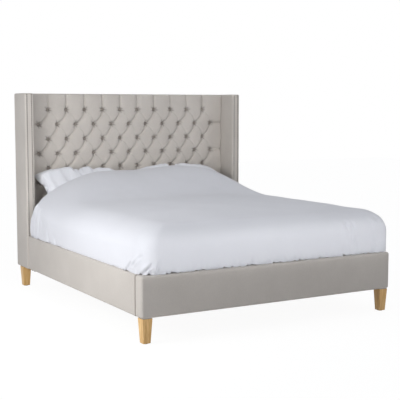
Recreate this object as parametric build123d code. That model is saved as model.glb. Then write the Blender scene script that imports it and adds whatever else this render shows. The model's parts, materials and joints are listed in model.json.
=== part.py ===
"""A wingback bed: a deep-buttoned headboard between two nailed wings, upholstered rails,
tapered oak legs, a sprung slat base, a mattress, pillows and a duvet.

Millimetres. X runs across the bed, +Y towards the headboard, +Z up.
The origin is on the floor, under the middle of the bed.
"""
import math
import os

from build123d import *

# Overall sizes
overall_length = 2240
wing_span = 1950
headboard_height = 1530
ground_clearance = 160
rail_top = 416

# Clearances shared by several joints
bore_clearance = 0.5
soft_gap = 0.3
overrun = 20

# Wings
wing_depth = 255
wing_thickness = 70
wing_padding = 15
wing_edge_radius = 11
wing_bar_width = 45
wing_bar_count = 7

# Side rails
rail_setback = 10
rail_thickness = 60
rail_padding = 15
rail_edge_radius = 11

# Footboard
footboard_thickness = 98
footboard_padding = 18
footboard_edge_radius = 16
footboard_panel = 9
footboard_bar_width = 45
footboard_bar_count = 9

# Headboard carcass
back_cloth_thickness = 1
back_cloth_margin = 6
post_width = 45
post_thickness = 23
headboard_rail_height = 70
headboard_foot_rail_height = 130
headboard_ply_thickness = 6
stile_width = 60

# Buttoned pad
pad_thickness = 38
pad_bottom = 350
pad_lip = 8
pad_edge_radius = 13
pad_side_radius = 9
button_pitch = 159
button_row_pitch = 117.5
button_top_margin = 128
button_side_margin = 90
button_low_margin = 50
button_diameter = 20
button_height = 7
button_sink = 29
button_seat_clearance = 1
pleat_half_width = 60
pleat_depth = 19
pleat_roll_radius = 118
edge_pleat_half_width = 46
edge_pleat_depth = 13
edge_pleat_roll_radius = 98

# Decorative nails
nail_pitch = 16.8
nail_head_diameter = 9
nail_head_height = 3.2
nail_shank_diameter = 1.8
nail_shank_length = 12
nail_row_offset = 18
nail_top_margin = 12
nail_bottom_margin = 6

# Legs
leg_top_size = 68
leg_foot_size = 50
leg_corner_radius = 3
leg_face_inset = 8
head_leg_setback = 81
leg_plate_size = 58
leg_plate_thickness = 3
glide_diameter = 34
glide_height = 4

# Fasteners
leg_bolt_diameter = 10
leg_bolt_grip = 45
bolt_diameter = 8
bolt_head_width = 13
bolt_head_height = 5.5
wing_bolt_grip = 30
wing_bolt_lowest = 330
wing_bolt_rail_gap = 81
wing_bolt_top_drop = 332
bracket_bolt_grip = 20
screw_diameter = 5
screw_head_diameter = 10
screw_head_height = 3
screw_grip = 16
screw_count = 7

# Slat base
cleat_thickness = 30
cleat_height = 40
cleat_top = 310
cleat_end_gap = 96
beam_width = 80
beam_height = 60
hanger_thickness = 3
hanger_flange = 30
hanger_seat_length = 45
slat_pitch = 108
slat_end_room = 138
slat_width = 63
slat_thickness = 9
slat_rise = 12
slat_end_clearance = 1
holder_width = 75
holder_depth = 38
holder_wall = 4
holder_floor = 3
holder_play = 3
holder_gap = 1

# Centre legs
centre_leg_size = 48
centre_leg_spacing = 700
levelling_pad_diameter = 36
levelling_pad_height = 6
levelling_stem_diameter = 8
levelling_stem_length = 70
levelling_travel = 15
levelling_spare = 4

# Brackets
bracket_thickness = 4
bracket_height = 80
bracket_bottom = 176
foot_bracket_arm = 70
head_bracket_length = 160
bracket_bolt_end = 22
strap_length = 76
strap_width = 34
strap_thickness = 4
strap_shift = 25
strap_bolt_end = 12
strap_bolt_grip = 28
strap_bolt_head_width = 15
strap_bolt_head_height = 9

# Mattress
mattress_thickness = 296
mattress_side_gap = 5
mattress_foot_gap = 20
mattress_head_gap = 54
mattress_corner_radius = 60
mattress_side_draw = 7
piping_radius = 5

# Pillows
pillow_width = 470
pillow_rise = 70
pillow_fall = 62
pillow_end_draw = 16
pillow_tilt = 12
pillow_left_gap = 60
pillow_middle_gap = 188
pillow_right_gap = 182
upper_pillow_lift = 150
upper_pillow_setback = 252
lower_pillow_seam = 54
lower_pillow_setback = 282
lower_pillow_shift_left = 65
lower_pillow_shift_right = 22

# Duvet
duvet_foot_setback = 17
duvet_side_setback = 15
duvet_loft = 87
duvet_crown = 16
duvet_wide_rise = 144
duvet_foot_radius = 145
duvet_foot_tuck = 13
duvet_plan_radius = 150
duvet_hem_tuck = 12
duvet_shoulder_run = 215
duvet_shoulder_drop = 6
duvet_hump = 187
duvet_hump_length = 712
duvet_hump_run = 42
duvet_hem_gap = 0.5
duvet_head_setback = 90
duvet_head_sweep = 362
duvet_slant_setback = 225
duvet_slant_rise = 59
duvet_slant_run = 224
duvet_slant_drop = 220
duvet_wing_gap = 4
duvet_mattress_gap = 1.2
duvet_pillow_gap = 1.5
duvet_fold_radius = 15
duvet_fold_bite = 10

# Places worked out from the sizes
rear = overall_length / 2
front = -overall_length / 2
half_span = wing_span / 2
wing_inner = half_span - wing_thickness
wing_front = rear - wing_depth
wing_middle = half_span - wing_thickness / 2
carcass_rear = rear - back_cloth_thickness
rail_outer = half_span - rail_setback
rail_inner = rail_outer - rail_thickness
footboard_inner = front + footboard_thickness
post_front = carcass_rear - post_thickness
ply_front = post_front - headboard_ply_thickness
pad_face = ply_front - pad_thickness
carcass_top = headboard_height - pad_lip
middle_rail_bottom = (ground_clearance + carcass_top) / 2
top_rail_bottom = carcass_top - headboard_rail_height

wing_core_front = wing_front + wing_padding
wing_core_inner = wing_inner + wing_padding
wing_core_outer = half_span - wing_padding
wing_core_top = headboard_height - wing_padding

rail_board_inner = rail_inner + rail_padding
rail_board_outer = rail_outer - rail_padding
rail_board_top = rail_top - rail_padding

foot_core_front = front + footboard_padding
foot_core_rear = footboard_inner - footboard_padding
foot_core_half = rail_outer - footboard_padding
foot_core_top = rail_top - footboard_padding

beam_top = cleat_top
beam_bottom = beam_top - beam_height
slat_seat = cleat_top + holder_floor + bore_clearance
slat_crown = slat_seat + slat_rise + slat_thickness
holder_height = holder_floor + slat_thickness + holder_play + holder_wall
mattress_bottom = slat_crown + soft_gap
mattress_top = mattress_bottom + mattress_thickness
mattress_foot = footboard_inner + mattress_foot_gap
mattress_head = pad_face - mattress_head_gap
mattress_length = mattress_head - mattress_foot
mattress_width = 2 * (rail_inner - mattress_side_gap)
mattress_middle = (mattress_foot + mattress_head) / 2

pillow_length = (2 * wing_inner - pillow_left_gap - pillow_middle_gap - pillow_right_gap) / 2
upper_pillow_left = -wing_inner + pillow_left_gap + pillow_length / 2
upper_pillow_right = wing_inner - pillow_right_gap - pillow_length / 2
upper_pillow_y = pad_face - upper_pillow_setback
upper_pillow_height = mattress_top + upper_pillow_lift
lower_pillow_left = upper_pillow_left + lower_pillow_shift_left
lower_pillow_right = upper_pillow_right + lower_pillow_shift_right
lower_pillow_y = pad_face - lower_pillow_setback

duvet_foot = front + duvet_foot_setback
duvet_head = pad_face - duvet_head_setback
duvet_half_width = rail_outer - duvet_side_setback
duvet_top = mattress_top + duvet_loft
duvet_wide_height = rail_top + duvet_wide_rise
duvet_slant_head = wing_front - duvet_slant_setback
duvet_slant_top = mattress_top + duvet_slant_rise
duvet_hump_start = duvet_head - duvet_hump_length
levelling_leg_bottom = levelling_pad_height + levelling_travel + levelling_spare


def block(x0, x1, y0, y1, z0, z1):
    """A box between two corners."""
    place = Pos((x0 + x1) / 2, (y0 + y1) / 2, (z0 + z1) / 2)
    return place * Box(abs(x1 - x0), abs(y1 - y0), abs(z1 - z0))


def both_sides(make):
    """What make gives at the left and at the right of the bed."""
    return [make(-1), make(1)]


def round_edges(solid, radius, wanted):
    """Fillet the edges of a solid that the test picks."""
    return fillet([edge for edge in solid.edges() if wanted(edge)], radius)


def bolt(origin, direction, grip, diameter, head_width, head_height):
    """A hexagon bolt: its head stands on origin and its shank runs along direction."""
    head = extrude(RegularPolygon(head_width / 2, 6, major_radius=False), -head_height)
    shank = extrude(Circle(diameter / 2), grip)
    return Plane(origin=origin, z_dir=direction) * (head + shank)


def bore(origin, direction, grip, diameter):
    """The hole that a bolt's shank runs in, open at the head."""
    tool = extrude(Circle(diameter / 2 + bore_clearance), grip + bore_clearance)
    return Plane(origin=origin, z_dir=direction) * tool


def cut_all(solid, tools):
    """A solid less every tool that reaches it."""
    box = solid.bounding_box()
    near = [tool for tool in tools if boxes_meet(box, tool.bounding_box())]
    return solid - near if near else solid


def boxes_meet(one, other):
    """Do two bounding boxes share any space?"""
    pairs = zip(one.min, one.max, other.min, other.max)
    return all(low <= high_other and low_other <= high for low, high, low_other, high_other in pairs)


# Fasteners and the bores that they share with the timber

def leg_places():
    """The four legs: their side, the middle of their top, and their name."""
    foot_x = rail_outer - leg_face_inset - leg_top_size / 2
    foot_y = front + leg_face_inset + leg_top_size / 2
    head_x = half_span - leg_face_inset - leg_top_size / 2
    head_y = rear - head_leg_setback
    return {
        "leg_foot_left": (-foot_x, foot_y),
        "leg_foot_right": (foot_x, foot_y),
        "leg_head_left": (-head_x, head_y),
        "leg_head_right": (head_x, head_y),
    }


def leg_bolt_at(x, y):
    """A plain stud, half in the leg and half in the timber above."""
    return Pos(x, y, ground_clearance) * Cylinder(leg_bolt_diameter / 2, 2 * leg_bolt_grip)


def leg_bore_at(x, y):
    """The hole for a leg's stud."""
    radius = leg_bolt_diameter / 2 + bore_clearance
    return Pos(x, y, ground_clearance) * Cylinder(radius, 2 * (leg_bolt_grip + bore_clearance))


def wing_bolt_places():
    """Bolts through the headboard posts into the wings, from the middle of the bed outwards."""
    heights = [wing_bolt_lowest, middle_rail_bottom - wing_bolt_rail_gap, carcass_top - wing_bolt_top_drop]
    y = (post_front + carcass_rear) / 2
    grip = post_width + wing_padding + wing_bolt_grip
    return [((side * (wing_inner - post_width), y, z), (side, 0, 0), grip) for side in (-1, 1) for z in heights]


def bracket_bolt_places():
    """Bolts of the corner brackets: two in each arm, into rail, footboard or wing."""
    places = []
    heights = [bracket_bottom + bracket_bolt_end, bracket_bottom + bracket_height - bracket_bolt_end]
    foot_reach = footboard_inner + foot_bracket_arm - bracket_bolt_end
    for side in (-1, 1):
        plate_face = side * (rail_inner - bracket_thickness)
        into_rail = bracket_thickness + rail_padding + bracket_bolt_grip
        into_foot = bracket_thickness + footboard_padding + footboard_panel + bracket_bolt_grip
        into_wing = bracket_thickness + wing_padding + bracket_bolt_grip
        for z in heights:
            places.append(((plate_face, foot_reach, z), (side, 0, 0), into_rail))
            foot_x = side * (rail_inner - foot_bracket_arm + bracket_bolt_end)
            places.append(((foot_x, footboard_inner + bracket_thickness, z), (0, -1, 0), into_foot))
            half = head_bracket_length / 2 - bracket_bolt_end
            places.append(((plate_face, wing_front - half, z), (side, 0, 0), into_rail))
            places.append(((plate_face, wing_front + half, z), (side, 0, 0), into_wing))
    return places


def strap_bolt_places():
    """Upward bolts of the straps that lie under the joint of rail and wing."""
    bottom = ground_clearance - strap_thickness
    ends = strap_length / 2 - strap_bolt_end
    x = (rail_board_inner + rail_board_outer) / 2
    grip = strap_thickness + strap_bolt_grip
    middle = wing_front - strap_shift
    return [((side * x, middle + end, bottom), (0, 0, 1), grip) for side in (-1, 1) for end in (-ends, ends)]


def screw_places():
    """Screws along each cleat, into its rail."""
    first = footboard_inner + cleat_end_gap + cleat_height
    last = wing_front - cleat_end_gap - cleat_height
    step = (last - first) / (screw_count - 1)
    z = cleat_top - cleat_height / 2
    grip = cleat_thickness + rail_padding + screw_grip
    x = rail_inner - cleat_thickness
    return [((side * x, first + i * step, z), (side, 0, 0), grip) for side in (-1, 1) for i in range(screw_count)]


def make_bolts(places):
    """Hexagon bolts at a list of places."""
    return [bolt(o, d, grip, bolt_diameter, bolt_head_width, bolt_head_height) for o, d, grip in places]


def make_bores(places):
    """Bores for the bolts at a list of places."""
    return [bore(o, d, grip, bolt_diameter) for o, d, grip in places]


def screw(origin, direction, grip):
    """A pan-head wood screw."""
    head = extrude(Circle(screw_head_diameter / 2), -screw_head_height)
    shank = extrude(Circle(screw_diameter / 2), grip)
    return Plane(origin=origin, z_dir=direction) * (head + shank)


leg_bores = [leg_bore_at(x, y) for x, y in leg_places().values()]
wing_bores = make_bores(wing_bolt_places())
bracket_bores = make_bores(bracket_bolt_places())
strap_bores = make_bores(strap_bolt_places())
screw_bores = [bore(o, d, grip, screw_diameter) for o, d, grip in screw_places()]
frame_bores = leg_bores + wing_bores + bracket_bores + strap_bores + screw_bores


# Headboard

def headboard_post(side):
    """An upright at one edge of the headboard, bolted to the wing beside it."""
    post = block(side * (wing_inner - post_width), side * wing_inner, post_front, carcass_rear,
                 ground_clearance, carcass_top)
    return cut_all(post, frame_bores)


def headboard_rail(bottom, height):
    """A cross rail between the two posts."""
    half = wing_inner - post_width
    return block(-half, half, post_front, carcass_rear, bottom, bottom + height)


def headboard_stiles():
    """Short uprights between the cross rails."""
    spans = [
        (ground_clearance + headboard_foot_rail_height, middle_rail_bottom),
        (middle_rail_bottom + headboard_rail_height, top_rail_bottom),
    ]
    half = stile_width / 2
    return [block(-half, half, post_front, carcass_rear, low, high) for low, high in spans]


def button_rows_of_places():
    """The button places as rows of (x, z) from the top; every second row has one more."""
    rows = []
    row_count = int((headboard_height - button_top_margin - button_low_margin - mattress_top) / button_row_pitch) + 1
    wide_reach = int((wing_inner - button_side_margin) / button_pitch)
    for row in range(row_count):
        count = 2 * wide_reach + row % 2
        z = headboard_height - button_top_margin - row * button_row_pitch
        rows.append([((i - (count - 1) / 2) * button_pitch, z) for i in range(count)])
    return rows


def pleat(start, end, half_width, depth, roll_radius):
    """A sewn pleat as a cutter: two rolls of cloth that meet in a crease, from start to end."""
    (x0, z0), (x1, z1) = start, end
    length = math.hypot(x1 - x0, z1 - z0)
    along = Vector((x1 - x0) / length, 0, (z1 - z0) / length)
    across = along.cross(Vector(0, 1, 0))
    plane = Plane(origin=(x0, pad_face, z0), x_dir=across, z_dir=along)
    inward = 1 if plane.y_dir.Y > 0 else -1
    chord = math.hypot(half_width, depth)
    sagitta = roll_radius - math.sqrt(roll_radius ** 2 - (chord / 2) ** 2)
    roll_x = half_width / 2 - sagitta * depth / chord
    roll_y = depth / 2 - sagitta * half_width / chord
    outline = Polyline(
        (0, inward * depth), (roll_x, inward * roll_y), (half_width, 0), (half_width, -inward * overrun),
        (-half_width, -inward * overrun), (-half_width, 0), (-roll_x, inward * roll_y), (0, inward * depth))
    return Solid.extrude((plane * make_face(outline)).face(), along * length)


def diagonal_runs(rows):
    """Straight runs of buttons down each diagonal, as (first, last) places."""
    half_step = button_pitch / 2
    found = {(round(x / half_step), r): (x, z) for r, row in enumerate(rows) for x, z in row}
    runs = []
    for lean in (-1, 1):
        for column, row in found:
            if (column - lean, row - 1) in found:
                continue
            last = (column, row)
            while (last[0] + lean, last[1] + 1) in found:
                last = (last[0] + lean, last[1] + 1)
            if last != (column, row):
                runs.append((found[(column, row)], found[last]))
    return runs


def headboard_pad():
    """The buttoned pad: crowned diamonds between sewn pleats, with a lip over the carcass."""
    section = Polyline(
        (ply_front, pad_bottom), (pad_face, pad_bottom), (pad_face, headboard_height),
        (carcass_rear, headboard_height), (carcass_rear, carcass_top), (ply_front, carcass_top),
        (ply_front, pad_bottom))
    half = wing_inner
    profile = Plane(origin=(-half, 0, 0), x_dir=(0, 1, 0), z_dir=(1, 0, 0)) * make_face(section)
    pad = Solid.extrude(profile.face(), Vector(2 * half, 0, 0))
    top_front = [e for e in pad.edges().filter_by(Axis.X)
                 if abs(e.center().Y - pad_face) < soft_gap and e.center().Z > carcass_top]
    pad = fillet(top_front, pad_edge_radius)
    sides = [e for e in pad.edges().filter_by(Axis.Z) if abs(e.center().Y - pad_face) < soft_gap]
    pad = fillet(sides, pad_side_radius)

    rows = button_rows_of_places()
    tools = [pleat(a, b, pleat_half_width, pleat_depth, pleat_roll_radius) for a, b in diagonal_runs(rows)]
    edge = (edge_pleat_half_width, edge_pleat_depth, edge_pleat_roll_radius)
    top, bottom = headboard_height + overrun, pad_bottom - overrun
    tools += [pleat(place, (place[0], top), *edge) for place in rows[0]]
    tools += [pleat(place, (place[0], bottom), *edge) for place in rows[-1]]
    for row in rows[1::2]:
        for place in (row[0], row[-1]):
            side = math.copysign(wing_inner + overrun, place[0])
            tools.append(pleat(place, (side, place[1]), *edge))
    seat = button_diameter / 2 + button_seat_clearance
    for row in rows:
        for x, z in row:
            pocket = Plane(origin=(x, pad_face - overrun, z), z_dir=(0, 1, 0)) * Circle(seat)
            tools.append(extrude(pocket, overrun + button_sink))
    return pad - tools


def dome(radius, height):
    """A shallow ball cap on the ground plane."""
    ball = (radius ** 2 + height ** 2) / (2 * height)
    above = Box(2 * ball, 2 * ball, height, align=(Align.CENTER, Align.CENTER, Align.MIN))
    return Pos(0, 0, height - ball) * Sphere(ball) & above


def tuft_button(x, z):
    """A cloth-covered button, domed towards the room, on the floor of its dimple."""
    radius, rim = button_diameter / 2, button_height / 3
    disc = extrude(Circle(radius), rim)
    body = disc + Pos(0, 0, rim) * dome(radius, button_height - rim)
    return Plane(origin=(x, pad_face + button_sink, z), z_dir=(0, -1, 0)) * body


def back_cloth():
    """The dust cloth over the back of headboard and wings."""
    half = half_span - back_cloth_margin
    return block(-half, half, carcass_rear, rear, ground_clearance + back_cloth_margin,
                 headboard_height - back_cloth_margin)


# Wings

def wing_frame(side):
    """The timber ladder inside a wing."""
    frame = block(side * wing_core_inner, side * wing_core_outer, wing_core_front, carcass_rear,
                  ground_clearance, wing_core_top)
    clear = wing_core_top - ground_clearance - wing_bar_count * wing_bar_width
    window = clear / (wing_bar_count - 1)
    for i in range(wing_bar_count - 1):
        low = ground_clearance + wing_bar_width + i * (window + wing_bar_width)
        frame -= block(side * (wing_core_inner - overrun), side * (wing_core_outer + overrun),
                       wing_core_front + wing_bar_width, carcass_rear - wing_bar_width, low, low + window)
    return cut_all(frame, frame_bores)


def wing_cover(side):
    """The padded cover of a wing, open at the back and underneath."""
    cover = block(side * wing_inner, side * half_span, wing_front, carcass_rear,
                  ground_clearance, headboard_height)
    cover = round_edges(cover, wing_edge_radius, is_wing_edge)
    cover -= block(side * wing_core_inner, side * wing_core_outer, wing_core_front, carcass_rear + overrun,
                   ground_clearance - overrun, wing_core_top)
    return cut_all(cover, frame_bores)


def is_wing_edge(edge):
    """The upright front edges of a wing, and the edges round its top but the rear one."""
    middle = edge.center()
    upright_front = middle.Y < wing_front + soft_gap and middle.Z > ground_clearance + soft_gap
    round_top = middle.Z > headboard_height - soft_gap and middle.Y < carcass_rear - soft_gap
    return upright_front or round_top


def wing_nail(x, z):
    """A domed nail in the front of a wing."""
    head = dome(nail_head_diameter / 2, nail_head_height)
    shank = extrude(Circle(nail_shank_diameter / 2), -nail_shank_length)
    return Plane(origin=(x, wing_front, z), z_dir=(0, -1, 0)) * (head + shank)


def wing_nails(side):
    """Two columns of nails down the front of a wing, from its top to the rail."""
    highest = headboard_height - nail_top_margin
    lowest = rail_top + nail_bottom_margin
    count = int((highest - lowest) / nail_pitch) + 1
    columns = [side * wing_middle - nail_row_offset, side * wing_middle + nail_row_offset]
    return [wing_nail(x, highest - i * nail_pitch) for x in columns for i in range(count)]


# Side rails

def rail_board(side):
    """The board inside a side rail."""
    board = block(side * rail_board_inner, side * rail_board_outer, footboard_inner, wing_front,
                  ground_clearance, rail_board_top)
    return cut_all(board, frame_bores)


def rail_cover(side):
    """The padded cover of a side rail, open underneath."""
    cover = block(side * rail_inner, side * rail_outer, footboard_inner, wing_front, ground_clearance, rail_top)
    cover = round_edges(cover, rail_edge_radius, is_rail_edge)
    cover -= block(side * rail_board_inner, side * rail_board_outer, footboard_inner - overrun,
                   wing_front + overrun, ground_clearance - overrun, rail_board_top)
    return cut_all(cover, frame_bores)


def is_rail_edge(edge):
    """The two long upper edges of a rail."""
    middle = edge.center()
    return middle.Z > rail_top - soft_gap and abs(middle.Y - (footboard_inner + wing_front) / 2) < overrun


def rail_cleat(side):
    """The strip inside a rail that carries the slat holders."""
    cleat = block(side * (rail_inner - cleat_thickness), side * rail_inner, footboard_inner + cleat_end_gap,
                  ply_front - cleat_end_gap, cleat_top - cleat_height, cleat_top)
    return cut_all(cleat, screw_bores)


# Footboard

def footboard_frame():
    """The timber ladder inside the footboard."""
    low, high = ground_clearance, foot_core_top
    y0, y1 = foot_core_front + footboard_panel, foot_core_rear - footboard_panel
    frame = block(-foot_core_half, foot_core_half, y0, y1, low, high)
    clear = 2 * foot_core_half - footboard_bar_count * footboard_bar_width
    window = clear / (footboard_bar_count - 1)
    for i in range(footboard_bar_count - 1):
        x = -foot_core_half + footboard_bar_width + i * (window + footboard_bar_width)
        frame -= block(x, x + window, y0 - overrun, y1 + overrun,
                       low + footboard_bar_width, high - footboard_bar_width)
    return cut_all(frame, frame_bores)


def footboard_skin(y0, y1):
    """A ply panel on the front or the back of the footboard's frame."""
    skin = block(-foot_core_half, foot_core_half, y0, y1, ground_clearance, foot_core_top)
    return cut_all(skin, frame_bores)


def footboard_cover():
    """The padded cover of the footboard, open underneath."""
    cover = block(-rail_outer, rail_outer, front, footboard_inner, ground_clearance, rail_top)
    cover = round_edges(cover, footboard_edge_radius, is_footboard_edge)
    cover -= block(-foot_core_half, foot_core_half, foot_core_front, foot_core_rear,
                   ground_clearance - overrun, foot_core_top)
    return cut_all(cover, frame_bores)


def is_footboard_edge(edge):
    """The upright front corners of the footboard and the edges round its top."""
    middle = edge.center()
    upright_front = middle.Y < front + soft_gap and middle.Z > ground_clearance + soft_gap
    at_top = middle.Z > rail_top - soft_gap
    return at_top or upright_front


# Legs

def leg(x, y):
    """A square leg that tapers to its foot."""
    top = ground_clearance - leg_plate_thickness
    foot = Pos(x, y, glide_height) * RectangleRounded(leg_foot_size, leg_foot_size, leg_corner_radius)
    head = Pos(x, y, top) * RectangleRounded(leg_top_size, leg_top_size, leg_corner_radius)
    return cut_all(loft([foot, head]), leg_bores)


def leg_plate(x, y):
    """The steel plate between a leg and the timber above it."""
    half = leg_plate_size / 2
    plate = block(x - half, x + half, y - half, y + half, ground_clearance - leg_plate_thickness, ground_clearance)
    return cut_all(plate, leg_bores)


def leg_glide(x, y):
    """The felt-faced glide under a leg."""
    return Pos(x, y, glide_height / 2) * Cylinder(glide_diameter / 2, glide_height)


# Slat base

def beam_hanger(y, direction):
    """A folded steel shoe that carries one end of the centre beam."""
    half = beam_width / 2 + hanger_thickness
    y_plate = y + direction * hanger_thickness
    y_seat = y_plate + direction * hanger_seat_length
    low = beam_bottom - hanger_thickness
    plate = block(-half - hanger_flange, half + hanger_flange, y, y_plate, low, beam_top - hanger_thickness)
    seat = block(-half, half, y_plate, y_seat, low, beam_top - hanger_thickness)
    seat -= block(-beam_width / 2, beam_width / 2, y_plate, y_seat, beam_bottom, beam_top)
    return plate + seat


def centre_beam():
    """The beam under the middle of the slats, from footboard to headboard."""
    half = beam_width / 2
    return block(-half, half, footboard_inner + hanger_thickness, ply_front - hanger_thickness,
                 beam_bottom, beam_top)


def centre_leg(y):
    """A support leg under the beam, bored for its levelling foot."""
    half = centre_leg_size / 2
    post = block(-half, half, y - half, y + half, levelling_leg_bottom, beam_bottom)
    depth = levelling_stem_length + levelling_travel
    hole = Cylinder(levelling_stem_diameter / 2 + bore_clearance, depth + levelling_spare,
                    align=(Align.CENTER, Align.CENTER, Align.MIN))
    return post - Pos(0, y, levelling_pad_height) * hole


def levelling_foot(y):
    """A screw-in foot: a round pad on a stem."""
    up = (Align.CENTER, Align.CENTER, Align.MIN)
    pad = Cylinder(levelling_pad_diameter / 2, levelling_pad_height, align=up)
    stem = Cylinder(levelling_stem_diameter / 2, levelling_pad_height + levelling_stem_length, align=up)
    return Pos(0, y, 0) * (pad + stem)


def slat_rows():
    """The places of the slats along the bed, from footboard to headboard."""
    first = footboard_inner + slat_end_room
    last = ply_front - slat_end_room
    steps = round((last - first) / slat_pitch)
    return [first + i * (last - first) / steps for i in range(steps + 1)]


def slat(side, y):
    """A bowed slat from the side rail to the centre beam."""
    inner = holder_wall + slat_end_clearance
    outer = rail_inner - holder_gap - holder_wall - slat_end_clearance
    middle = (inner + outer) / 2
    low, high = slat_seat, slat_seat + slat_thickness
    outline = Wire([
        Edge.make_three_point_arc((side * inner, low), (side * middle, low + slat_rise), (side * outer, low)),
        Edge.make_line((side * outer, low), (side * outer, high)),
        Edge.make_three_point_arc((side * outer, high), (side * middle, high + slat_rise), (side * inner, high)),
        Edge.make_line((side * inner, high), (side * inner, low)),
    ])
    profile = Plane(origin=(0, y + slat_width / 2, 0), x_dir=(1, 0, 0), z_dir=(0, -1, 0)) * Face(outline)
    return Solid.extrude(profile, Vector(0, -slat_width, 0))


def slat_pocket(x0, x1, y):
    """The room for a slat's end in its holder."""
    half = slat_width / 2 + bore_clearance
    low = cleat_top + holder_floor
    return block(x0, x1, y - half, y + half, low, low + slat_thickness + holder_play)


def side_holder(side, y):
    """A holder on the cleat, for the outer end of a slat."""
    outer = rail_inner - holder_gap
    half = holder_width / 2
    body = block(side * (outer - holder_depth), side * outer, y - half, y + half,
                 cleat_top, cleat_top + holder_height)
    return body - slat_pocket(side * (outer - holder_depth - overrun), side * (outer - holder_wall), y)


def centre_holder(y):
    """A double holder on the beam, for the inner ends of two slats."""
    half = holder_width / 2
    body = block(-beam_width / 2, beam_width / 2, y - half, y + half, cleat_top, cleat_top + holder_height)
    reach = beam_width / 2 + overrun
    return body - [slat_pocket(-reach, -holder_wall, y), slat_pocket(holder_wall, reach, y)]


# Brackets

def foot_bracket(side):
    """The angle that joins a side rail to the footboard, inside the corner."""
    low, high = bracket_bottom, bracket_bottom + bracket_height
    corner_x, corner_y = side * rail_inner, footboard_inner
    rail_arm = block(corner_x, corner_x - side * bracket_thickness, corner_y, corner_y + foot_bracket_arm, low, high)
    foot_arm = block(corner_x, corner_x - side * foot_bracket_arm, corner_y, corner_y + bracket_thickness, low, high)
    return cut_all(rail_arm + foot_arm, bracket_bores)


def head_bracket(side):
    """The plate that joins a side rail to a wing."""
    half = head_bracket_length / 2
    plate = block(side * (rail_inner - bracket_thickness), side * rail_inner, wing_front - half,
                  wing_front + half, bracket_bottom, bracket_bottom + bracket_height)
    return cut_all(plate, bracket_bores)


def joint_strap(side):
    """The black strap under the joint of rail and wing."""
    middle_x = side * (rail_board_inner + rail_board_outer) / 2
    middle_y = wing_front - strap_shift
    strap = block(middle_x - strap_width / 2, middle_x + strap_width / 2, middle_y - strap_length / 2,
                  middle_y + strap_length / 2, ground_clearance - strap_thickness, ground_clearance)
    return cut_all(strap, strap_bores)


# Bedding

def mattress_outline(z, inset):
    """The mattress seen from above at a height, drawn in by an inset."""
    return Pos(0, mattress_middle, z) * RectangleRounded(
        mattress_width - 2 * inset, mattress_length - 2 * inset, mattress_corner_radius - inset)


def mattress_piping():
    """The two piped edges of the mattress."""
    cords = []
    for z in (mattress_bottom + piping_radius, mattress_top - piping_radius):
        path = mattress_outline(z, piping_radius).face().outer_wire()
        ring = Plane(origin=path.position_at(0), z_dir=path.tangent_at(0)) * Circle(piping_radius)
        cords.append(sweep(ring, path))
    return cords


def mattress():
    """The mattress: sides drawn in between the steps that its piping lies in."""
    step = 2 * piping_radius + soft_gap
    low, high = mattress_bottom + step, mattress_top - step
    border = loft([
        mattress_outline(low, 0).face(),
        mattress_outline((low + high) / 2, mattress_side_draw).face(),
        mattress_outline(high, 0).face(),
    ])
    core = extrude(mattress_outline(mattress_bottom, step), mattress_thickness)
    return border + core


pillow_station_shares = [-0.5, -0.47, -0.42, -0.34, -0.22, 0.22, 0.34, 0.42, 0.47, 0.5]
pillow_height_shares = [0.16, 0.40, 0.60, 0.80, 1.0, 1.0, 0.80, 0.60, 0.40, 0.16]
pillow_width_shares = [1.0, 0.97, 0.96, 0.95, 0.945, 0.945, 0.95, 0.96, 0.97, 1.0]
pillow_flat_share = 0.62
pillow_crown_share = 0.25
pillow_rear_flank_share = 0.76
pillow_front_flank_share = -0.45
pillow_flank_rise_share = 0.66


def pillow_section(x, width, rise, fall):
    """A slice across a pillow: a flat rest, two flanks, and a crown nearer the headboard."""
    half, rest = width / 2, width / 2 * pillow_flat_share
    flank = (half + rest) / 2 + (half - rest) / 4
    crown = (x, half * pillow_crown_share, rise)
    rear_flank = (x, half * pillow_rear_flank_share, rise * pillow_flank_rise_share)
    front_flank = (x, half * pillow_front_flank_share, rise * pillow_flank_rise_share)
    return Face(Wire([
        Edge.make_line((x, -rest, -fall), (x, rest, -fall)),
        Edge.make_three_point_arc((x, rest, -fall), (x, flank, -fall / 2), (x, half, 0)),
        Edge.make_three_point_arc((x, half, 0), rear_flank, crown),
        Edge.make_three_point_arc(crown, front_flank, (x, -half, 0)),
        Edge.make_three_point_arc((x, -half, 0), (x, -flank, -fall / 2), (x, -rest, -fall)),
    ]))


def pillow_body(rise, fall):
    """A pillow about its seam: crowned, with its sides and ends drawn in."""
    sections = [
        pillow_section(station * pillow_length, width * pillow_width, rise * height, fall * height)
        for station, height, width in zip(pillow_station_shares, pillow_height_shares, pillow_width_shares)
    ]
    body = loft(sections, ruled=True)
    reach = (pillow_width / 2) ** 2 / (2 * pillow_end_draw) + pillow_end_draw / 2
    for side in (-1, 1):
        centre = side * (pillow_length / 2 + reach - pillow_end_draw)
        body -= Pos(centre, 0, 0) * Cylinder(reach, 2 * (pillow_rise + pillow_fall))
    return body


def upper_pillow_place(x):
    """Where an upper pillow leans: its seam, tilted up towards the headboard."""
    return Pos(x, upper_pillow_y, upper_pillow_height) * Rot(pillow_tilt, 0, 0)


def upper_pillow(x):
    """A pillow that leans back on the one under it."""
    return upper_pillow_place(x) * pillow_body(pillow_rise, pillow_fall)


def lower_pillow(x):
    """A pillow flat on the mattress, pressed down by the one above."""
    seam = mattress_top + soft_gap + lower_pillow_seam
    body = Pos(x, lower_pillow_y, seam) * pillow_body(pillow_rise, lower_pillow_seam)
    reach = pillow_length
    press = Pos(0, 0, reach / 2 - pillow_fall - soft_gap) * Box(3 * reach, 2 * reach, reach)
    return body - upper_pillow_place(x) * press


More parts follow.
